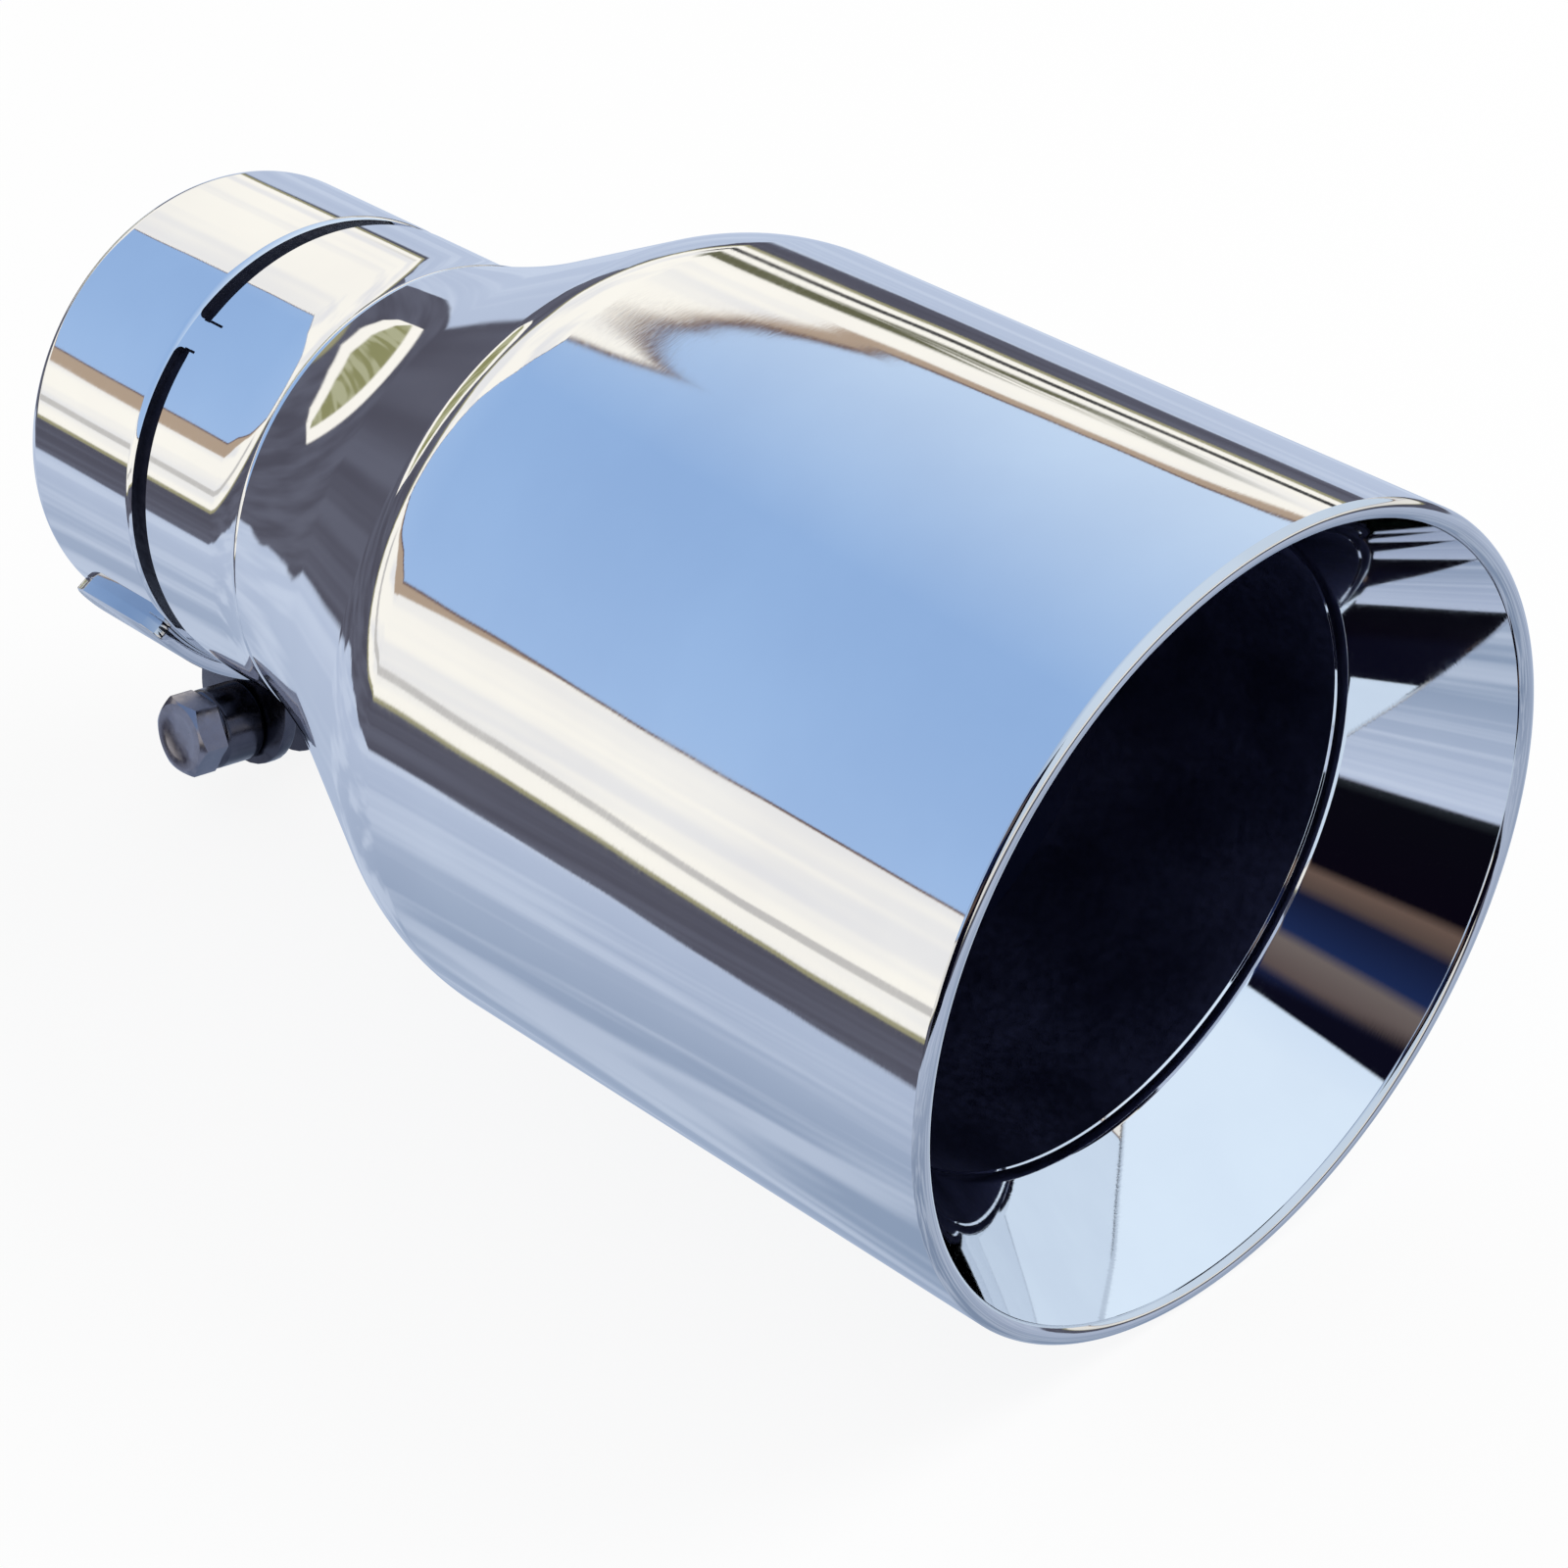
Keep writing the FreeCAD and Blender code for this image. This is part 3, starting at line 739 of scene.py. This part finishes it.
# Screw line: lengths along it are from the middle of the split, and its frame's X axis is the screw's

SCREW_FRAME = (CLAMP_FRAME @ Matrix.Translation((SCREW_X, 0, -SCREW_DROP))
               @ Matrix.Rotation(math.pi / 2, 4, "Z"))
EAR_OUT = SPLIT_GAP / 2 + EAR_WALL
HEAD_SEAT = -EAR_OUT - SPACER_LENGTH
NUT_SEAT = EAR_OUT + WASHER_HEIGHT


def screw_hole():
    """Cutter for the hole through an ear."""
    rod = bmesh.new()
    bmesh.ops.create_cone(rod, cap_ends=True, segments=64, radius1=HOLE_R, radius2=HOLE_R,
                          depth=HOLE_LENGTH)
    rod.transform(SCREW_FRAME @ Matrix.Rotation(math.pi / 2, 4, "Y"))
    return as_object("cutter", rod)


def ringed(name, rows, nodes, material, closed=False):
    """Skin over rings of equal length on the screw's line, with ends capped unless the rows close."""
    verts = [SCREW_FRAME @ Vector(spot) for row in rows for spot in row]
    faces = skin(len(rows), len(rows[0]), closed)
    return finish_mesh(name, verts, faces, (material,), nodes)


def ring_at(along, radius):
    """Ring of places: radius and along are numbers or depend on the turn."""
    row = []
    for number in range(SCREW_RINGS):
        turn = 2 * math.pi * number / SCREW_RINGS
        out = radius(turn) if callable(radius) else radius
        length = along(turn) if callable(along) else along
        row.append((length, out * math.cos(turn), out * math.sin(turn)))
    return row


def hex_reach(turn):
    """Distance from the axis to a hexagon with slightly worn corners."""
    flat = HEX_ACROSS / 2 / math.cos((turn % (math.pi / 3)) - math.pi / 6)
    return min(flat, HEX_WORN_R)


def hex_rows(low, high, high_bevel):
    """Rings of a hexagon turned off at its low end, and at its high end where asked."""
    def drop(turn):
        return max(0.0, hex_reach(turn) - HEX_RIDGE_R) * math.tan(HEX_BEVEL)

    rows = [ring_at(low, HEX_RIDGE_R), ring_at(lambda turn: low + drop(turn), hex_reach)]
    if high_bevel:
        return rows + [ring_at(lambda turn: high - drop(turn), hex_reach), ring_at(high, HEX_RIDGE_R)]
    return rows + [ring_at(high, hex_reach)]


def thread_reach(along, turn):
    """Shank's radius on a thread of the screw's pitch."""
    phase = (along / THREAD_PITCH - turn / (2 * math.pi)) % 1
    depth = min(1.0, max(0.0, abs(phase - 0.5) * THREAD_SLOPE - THREAD_CREST))
    return SCREW_R - THREAD_DEPTH * depth


def clamp_screw():
    """Hexagon head with a shallow dish, and a threaded shank with a turned-off end."""
    head_top = HEAD_SEAT - HEAD_HEIGHT
    plain_end = HEAD_SEAT + PLAIN_SHANK
    end = HEAD_SEAT + SCREW_LENGTH
    rows = [ring_at(head_top + depth * MM, radius * MM) for depth, radius in DISH]
    rows += hex_rows(head_top, HEAD_SEAT, high_bevel=False)
    rows += [ring_at(HEAD_SEAT, SCREW_R), ring_at(plain_end, SCREW_R)]
    for along in spaced(plain_end + THREAD_LEAD, end - THREAD_STOP, THREAD_STEP):
        rows.append(ring_at(along, lambda turn, along=along: thread_reach(along, turn)))
    rows.append(ring_at(end, SCREW_TIP_R))
    return ringed("hex_screw", rows, ["clamp_screw"], SCREW_STEEL)


def clamp_nut():
    """Hexagon nut with both ends turned off and its bore opened a little at both."""
    low, high = NUT_SEAT, NUT_SEAT + NUT_HEIGHT
    rows = hex_rows(low, high, high_bevel=True)
    rows += [ring_at(high, SCREW_R + NUT_SINK), ring_at(high - NUT_SINK, SCREW_R),
             ring_at(low + NUT_SINK, SCREW_R), ring_at(low, SCREW_R + NUT_SINK)]
    return ringed("hex_nut", rows, ["clamp_nut"], DARK_STEEL_AND_FLANGE_SHADE, closed=True)


def spacer():
    """Turned barrel between the screw's head and the front ear."""
    low, high, soft = HEAD_SEAT, -EAR_OUT, SPACER_SOFT
    outline = Outline(low, HOLE_R)
    outline.line_to(low, SPACER_R - soft).bend(soft, -90, steps=6)
    outline.ahead(high - low - 2 * soft, steps=2).bend(soft, -90, steps=6)
    outline.ahead(SPACER_R - soft - HOLE_R).line_to(low, HOLE_R)
    return turned("barrel_spacer", outline, ["screw_spacer"], (DARK_STEEL_AND_FLANGE_SHADE,),
                  rings=SPACER_RINGS, frame_at=SCREW_FRAME)


def spring_washer():
    """Split ring with soft edges, pressed flat under the nut."""
    low, high, soft = EAR_OUT, NUT_SEAT, WASHER_SOFT
    inner, outer = SCREW_R + WASHER_CLEAR, WASHER_R
    section = [(inner, low + soft), (inner + soft, low), (outer - soft, low), (outer, low + soft),
               (outer, high - soft), (outer - soft, high), (inner + soft, high), (inner, high - soft)]
    gap = math.asin(WASHER_GAP / 2 / outer)
    rows = []
    for step in range(WASHER_ROWS + 1):
        middle = math.pi + gap + (2 * math.pi - 2 * gap) * step / WASHER_ROWS
        slant = WASHER_SLANT * (1 - 2 * step / WASHER_ROWS)
        row = []
        for out, along in section:
            turn = middle + slant * (along - low) / WASHER_HEIGHT
            row.append((along, out * math.cos(turn), out * math.sin(turn)))
        rows.append(row)
    return ringed("spring_washer", rows, ["lock_washer"], DARK_STEEL_AND_FLANGE_SHADE)


# Pieces

shell_sheet()
inner_liner()
rim_bead()
neck_bead()
collar_band()
seal_strip()
ear("ear_front", "clamp_ear_front", -1)
ear("ear_rear", "clamp_ear_rear", 1)
clamp_screw()
clamp_nut()
spacer()
spring_washer()


# Camera: where the photograph was taken from, in the frame

CAMERA_AT = Vector((0.4659, -0.3114, 0.2785))
CAMERA_RIGHT = Vector((0.67309, 0.73886, -0.03206))
CAMERA_DOWN = Vector((0.37009, -0.37404, -0.85037))
CAMERA_AHEAD = Vector((-0.6403, 0.56051, -0.52521))
LENS_MM = 106.27
SENSOR_MM = 36


def place_camera():
    """Camera at the photograph's place and angle."""
    lens = bpy.data.cameras.new("camera")
    lens.lens = LENS_MM
    lens.sensor_width = SENSOR_MM
    lens.sensor_fit = "HORIZONTAL"
    lens.clip_start = 0.01
    lens.clip_end = 20
    camera = bpy.data.objects.new("camera", lens)
    bpy.context.scene.collection.objects.link(camera)
    axes = (CAMERA_RIGHT.normalized(), -CAMERA_DOWN.normalized(), -CAMERA_AHEAD.normalized())
    turn = Matrix(axes).transposed().to_4x4()
    camera.matrix_world = Matrix.Translation(CAMERA_AT) @ turn
    bpy.context.scene.camera = camera


# Stage

LAMP_SIDE = (0.35, 0.60, 0.72)
LAMP_AWAY = 2
LAMP_SIZE = 1.2
LAMP_WATTS = 14
SOFT_LIGHT = 0.75
FLOOR_SIZE = 30
FLOOR_PAINT = 0.95
FLOOR_GLOW = 0.88


def floor():
    """Pale floor that the drum lies on. To the camera it is nearly white and keeps the object's shadow."""
    bpy.ops.mesh.primitive_plane_add(size=FLOOR_SIZE, location=(0, 0, FLOOR_Z))
    plane = bpy.context.object
    plane.name = "floor"
    material, tree, shader = new_material("floor")
    tree.nodes.remove(shader)
    output = tree.nodes["Material Output"]
    path = add_node(tree, "ShaderNodeLightPath")
    paint = add_node(tree, "ShaderNodeBsdfDiffuse", {"Color": (FLOOR_PAINT, FLOOR_PAINT, FLOOR_PAINT, 1)})
    glow = add_node(tree, "ShaderNodeEmission", {"Color": (1, 1, 1, 1), "Strength": 1})
    share = maths(tree, "MULTIPLY", path.outputs["Is Camera Ray"], FLOOR_GLOW)
    links = {0: share, 1: paint.outputs["BSDF"], 2: glow.outputs["Emission"]}
    mix = add_node(tree, "ShaderNodeMixShader", links)
    tree.links.new(mix.outputs["Shader"], output.inputs["Surface"])
    plane.data.materials.append(material)
    plane.visible_glossy = False


# Surroundings that polished steel mirrors: a yard under a blue sky, with pale walls under a tiled roof,
# a shaded wall that has a window, and a dark road at their foot. Turns are about Z from +X and lifts are
# above the horizon, both in degrees. Each edge is a list of turns with its lift there.
SURROUND_R = 12
SKYLINE = ((-180, 36), (-177, 26), (-171, 18), (-165, 13), (-155, 13), (-146, 15), (-138, 14.5),
           (-131, 12), (-110, 10), (0, 8), (60, 8), (105, 13), (118, 18), (127, 22), (130, 25.5),
           (136, 26), (138, 29), (145, 35), (150, 38.5), (157, 42), (165, 45.5), (170, 45), (174, 43),
           (180, 36))
ROOF_DEPTH = ((-180, 0), (-168, 0), (-152, 1.5), (-144, 4), (-139, 5), (-136.5, 3.4), (-134, 0.4),
              (118, 0.8), (127, 2), (137, 2), (142, 0.8), (160, 0.4), (180, 0))
WALL_FOOT = ((-180, 17), (-173, 15), (-166, 10), (-158, 3), (-150, -3), (-141, -8.5), (-136, -9.5),
             (-132, -13.5), (-129, -16.5), (-122, -16), (-110, -12), (-60, -6), (60, -3), (110, 5),
             (125, 8), (131, 9), (137, 11), (150, 12), (155, 13), (160, 16), (180, 17))
ROAD_FOOT = ((-180, -19), (-172, -16), (-165, -13), (-158, -13), (-150, -16), (-141, -20),
             (-136, -21), (-132, -26), (-128, -29), (-115, -24), (-60, -16), (60, -12), (110, -2),
             (125, 2), (131, 3), (137, 9), (148, 11), (152, 0), (160, -4), (170, -14), (180, -19))
WINDOW_TOP = ((-180, 11), (-176.5, 8.5), (-175, 4), (-174, -30), (157, -30), (158, 6), (160, 10.5),
              (164, 14), (170, 15.5), (176, 13.5), (180, 11))
WINDOW_SILL = 2.5
WINDOW_FRAME = 2.6

# On the walls: heights above their foot, and the turns between which a thing is there
KERB_TOP = 1.2
LEDGE_HEIGHTS = (5.9, 7.8)
LEDGE_TURNS = (-158, -100)
RAIL_HEIGHTS = (3.1, 4.5)
RAIL_TURNS = (100, 138)
HEDGE_HEIGHTS = (6.5, 9.6)
HEDGE_TURNS = (128, 138)
RIDGE_HEIGHT = 0.45

# Between these the ground and sky change tone: lifts, and how far the place faces the pale side
GROUND_LIFTS = (-55, -22)
SKY_LIFTS = (12, 45)
PALE_SIDE = (0.83, 0.56, 0)
PALE_FACING = (-0.62, 0.21)
STREAK_SHARE = 0.55
ROAD_UNEVEN = 5

# Screen: its middle turn and half its width, the lifts and tones of its boards, and the turn past which
# they are dark with painted shade
SCREEN_TURN = -56
SCREEN_HALF = 21
SCREEN_TOP = 47
SCREEN = ((-17, (0.02, 0.025, 0.03)), (-14, (0.003, 0.003, 0.006)), (9, (0.003, 0.002, 0.006)),
          (12, (0.15, 0.10, 0.08)), (16, (0.10, 0.07, 0.06)), (19, (0.008, 0.012, 0.04)),
          (29, (0.012, 0.025, 0.09)), (32, (0.17, 0.14, 0.13)), (39, (0.12, 0.09, 0.085)),
          (42, (0.012, 0.02, 0.07)), (50, (0.02, 0.035, 0.11)))
SCREEN_DARK_TURN = -51
SCREEN_DARK = (0.004, 0.004, 0.012)

SKY_HIGH = (0.33, 0.51, 0.82)
SKY_LOW = (0.39, 0.57, 0.87)
SKY_BRIGHT = (0.80, 0.93, 1.06)
CREAM = (1.10, 1.06, 0.96)
SHADE = (0.92, 0.91, 0.90)
LEDGE = (0.62, 0.60, 0.57)
KERB = (0.36, 0.34, 0.20)
RAIL = (0.05, 0.05, 0.05)
HEDGE = (0.14, 0.14, 0.08)
TILES = (0.50, 0.38, 0.28)
RIDGE = (0.16, 0.10, 0.09)
OLIVE = (0.30, 0.30, 0.14)
OLIVE_PALE = (0.48, 0.48, 0.30)
# Road tones, also above the road where they are a wall's painted shade
ROAD = (0.135, 0.14, 0.185)
ROAD_DARK = (0.09, 0.09, 0.12)
GROUND_FAR = (0.52, 0.60, 0.76)
GROUND_NEAR = (0.29, 0.37, 0.51)
STREAK = (0.68, 0.76, 0.90)


def by_turn(tree, turn, stops):
    """Lift that follows the turn through given stops."""
    share = maths(tree, "MULTIPLY_ADD", turn, 1 / 360, 0.5)
    greys = [((at + 180) / 360, ((lift + 90) / 180,) * 3) for at, lift in stops]
    return maths(tree, "MULTIPLY_ADD", ramp(tree, share, greys), 180, -90)


def above(tree, value, edge, soft=0.5):
    """0 below an edge and 1 above it, with a soft step."""
    return spread(tree, maths(tree, "SUBTRACT", value, edge), -soft, soft, curve="SMOOTHSTEP")


def cover(tree, mask, below, colour):
    """Colour laid over another where the mask is 1."""
    node = add_node(tree, "ShaderNodeMixRGB", {"Fac": mask})
    for key, value in (("Color1", below), ("Color2", colour)):
        if isinstance(value, bpy.types.NodeSocket):
            tree.links.new(value, node.inputs[key])
        else:
            node.inputs[key].default_value = (*value, 1)
    return node.outputs["Color"]


def band(tree, value, low, high, soft=0.3):
    """1 between two edges and 0 outside them."""
    return maths(tree, "MULTIPLY", above(tree, value, low, soft), above(tree, high, value, soft))


def patch(tree, up, heights, turn, turns, soft=0.3, side_soft=2):
    """1 where both the height and the turn lie between their edges."""
    return maths(tree, "MULTIPLY", band(tree, up, *heights, soft), band(tree, turn, *turns, side_soft))


def paint_ground(tree, ahead, lift, foot):
    """Pale ground with soft streaks, and a dark road and shaded wall above its uneven edge."""
    ground = cover(tree, spread(tree, lift, *GROUND_LIFTS), GROUND_NEAR, GROUND_FAR)
    streaks = above(tree, noise(tree, ahead, scale=3.5, stretch=(1, 1, 5)), edge=0.54, soft=0.12)
    ground = cover(tree, maths(tree, "MULTIPLY", streaks, STREAK_SHARE), ground, STREAK)
    worn = above(tree, noise(tree, ahead, scale=5, stretch=(1, 1, 4)), edge=0.5, soft=0.2)
    # The road's tones also cover the shaded wall above it, as painted shade
    road_and_wall_shade = cover(tree, worn, ROAD, ROAD_DARK)
    rough = noise(tree, ahead, scale=9, detail=3)
    uneven = maths(tree, "MULTIPLY_ADD", rough, ROAD_UNEVEN, -ROAD_UNEVEN / 2)
    return cover(tree, above(tree, maths(tree, "ADD", lift, uneven), foot, soft=0.6), ground, road_and_wall_shade)


def paint_window(tree, ahead, turn, lift, colour):
    """Pale frame round an olive pane with fine slats, in the shaded wall."""
    top = by_turn(tree, turn, WINDOW_TOP)
    colour = cover(tree, band(tree, lift, WINDOW_SILL, top), colour, CREAM)
    lines = noise(tree, ahead, scale=40, stretch=(1, 1, 0.15), detail=1)
    slats = cover(tree, above(tree, lines, edge=0.5, soft=0.08), OLIVE, OLIVE_PALE)
    inner = maths(tree, "SUBTRACT", top, WINDOW_FRAME)
    return cover(tree, band(tree, lift, WINDOW_SILL + WINDOW_FRAME, inner), colour, slats)


def paint_walls(tree, ahead, turn, up):
    """Pale walls by the height above their foot: kerb, ledge, rail and hedge."""
    shade = above(tree, noise(tree, ahead, scale=4, stretch=(1, 1, 2)), edge=0.58, soft=0.12)
    wall = cover(tree, shade, CREAM, SHADE)
    wall = cover(tree, above(tree, KERB_TOP, up, soft=0.4), wall, KERB)
    wall = cover(tree, patch(tree, up, LEDGE_HEIGHTS, turn, LEDGE_TURNS), wall, LEDGE)
    wall = cover(tree, patch(tree, up, RAIL_HEIGHTS, turn, RAIL_TURNS), wall, RAIL)
    leaves = above(tree, noise(tree, ahead, scale=16, stretch=(1, 1, 2), detail=3), edge=0.4, soft=0.08)
    hedge = patch(tree, up, HEDGE_HEIGHTS, turn, HEDGE_TURNS, soft=0.6, side_soft=1.5)
    return cover(tree, maths(tree, "MULTIPLY", hedge, leaves), wall, HEDGE)


def paint_sky(tree, ahead, lift):
    """Blue sky, paler near the horizon and on one side."""
    sky = cover(tree, spread(tree, lift, *SKY_LIFTS), SKY_LOW, SKY_HIGH)
    facing = add_node(tree, "ShaderNodeVectorMath", {0: ahead, 1: PALE_SIDE}, operation="DOT_PRODUCT")
    return cover(tree, spread(tree, facing.outputs["Value"], *PALE_FACING), sky, SKY_BRIGHT)


def paint_screen(tree, turn, lift, colour):
    """One dark screen of level boards beside the outlet."""
    away = maths(tree, "ABSOLUTE", maths(tree, "SUBTRACT", turn, SCREEN_TURN))
    low, high = SCREEN[0][0], SCREEN[-1][0]
    inside = maths(tree, "MULTIPLY", above(tree, SCREEN_HALF, away, soft=0.3),
                   band(tree, lift, low, SCREEN_TOP, soft=0.5))
    stops = [((at - low) / (high - low), tone) for at, tone in SCREEN]
    boards = ramp(tree, spread(tree, lift, low, high), stops)
    # Past that turn the boards are dark with painted shade
    boards = cover(tree, above(tree, turn, SCREEN_DARK_TURN, soft=2), boards, SCREEN_DARK)
    return cover(tree, inside, colour, boards)


def paint_surround(tree, ahead):
    """Sky, walls under a tiled roof, road, ground and screen, by direction."""
    axis = add_node(tree, "ShaderNodeSeparateXYZ", {0: ahead})
    turn = maths(tree, "DEGREES", maths(tree, "ARCTAN2", axis.outputs["Y"], axis.outputs["X"]))
    lift = maths(tree, "DEGREES", maths(tree, "ARCSINE", axis.outputs["Z"]))
    top = by_turn(tree, turn, SKYLINE)
    up = maths(tree, "SUBTRACT", lift, by_turn(tree, turn, WALL_FOOT))
    ridge = maths(tree, "SUBTRACT", top, RIDGE_HEIGHT)
    eaves = maths(tree, "SUBTRACT", top, by_turn(tree, turn, ROOF_DEPTH))
    colour = paint_ground(tree, ahead, lift, by_turn(tree, turn, ROAD_FOOT))
    colour = paint_window(tree, ahead, turn, lift, colour)
    colour = cover(tree, above(tree, up, 0, soft=0.3), colour, paint_walls(tree, ahead, turn, up))
    colour = cover(tree, above(tree, lift, eaves, soft=0.4), colour, TILES)
    colour = cover(tree, above(tree, lift, ridge, soft=0.25), colour, RIDGE)
    colour = cover(tree, above(tree, lift, top, soft=0.25), colour, paint_sky(tree, ahead, lift))
    return paint_screen(tree, turn, lift, colour)


def surround():
    """Glowing backdrop all round with painted surroundings, which only mirrors see, so the steel's
    reflections are painted: the camera and soft light see the white world.
    """
    bpy.ops.mesh.primitive_uv_sphere_add(segments=64, ring_count=32, radius=SURROUND_R)
    ball = bpy.context.object
    ball.name = "surround"
    material, tree, shader = new_material("surround")
    tree.nodes.remove(shader)
    place = add_node(tree, "ShaderNodeTexCoord").outputs["Object"]
    ahead = add_node(tree, "ShaderNodeVectorMath", {0: place}, operation="NORMALIZE").outputs["Vector"]
    glow = add_node(tree, "ShaderNodeEmission", {"Color": paint_surround(tree, ahead), "Strength": 1})
    tree.links.new(glow.outputs["Emission"], tree.nodes["Material Output"].inputs["Surface"])
    material.cycles.emission_sampling = "NONE"
    ball.data.materials.append(material)
    ball.visible_camera = False
    ball.visible_diffuse = False
    ball.visible_shadow = False


def white_world():
    """White all round. Its soft light is a little under its look, which leaves room for the lamp."""
    world = bpy.data.worlds.new("world")
    bpy.context.scene.world = world
    world.use_nodes = True
    tree = world.node_tree
    sky = tree.nodes["Background"]
    path = add_node(tree, "ShaderNodeLightPath")
    seen = maths(tree, "MAXIMUM", path.outputs["Is Camera Ray"], path.outputs["Is Glossy Ray"])
    seen = maths(tree, "MAXIMUM", seen, path.outputs["Is Transmission Ray"])
    tree.links.new(maths(tree, "MULTIPLY_ADD", seen, 1 - SOFT_LIGHT, SOFT_LIGHT), sky.inputs["Strength"])
    sky.inputs["Color"].default_value = (1, 1, 1, 1)


def lamp():
    """One large soft lamp, high on the side that the sky is brightest."""
    light = bpy.data.lights.new("soft_lamp", "AREA")
    light.shape = "DISK"
    light.size = LAMP_SIZE
    light.energy = LAMP_WATTS
    item = bpy.data.objects.new("soft_lamp", light)
    bpy.context.scene.collection.objects.link(item)
    side = Vector(LAMP_SIDE).normalized()
    aim = side.to_track_quat("Z", "Y").to_matrix().to_4x4()
    item.matrix_world = Matrix.Translation(side * LAMP_AWAY) @ aim
    item.visible_glossy = False


place_camera()
floor()
surround()
white_world()
lamp()

bpy.context.scene.view_settings.view_transform = "Standard"
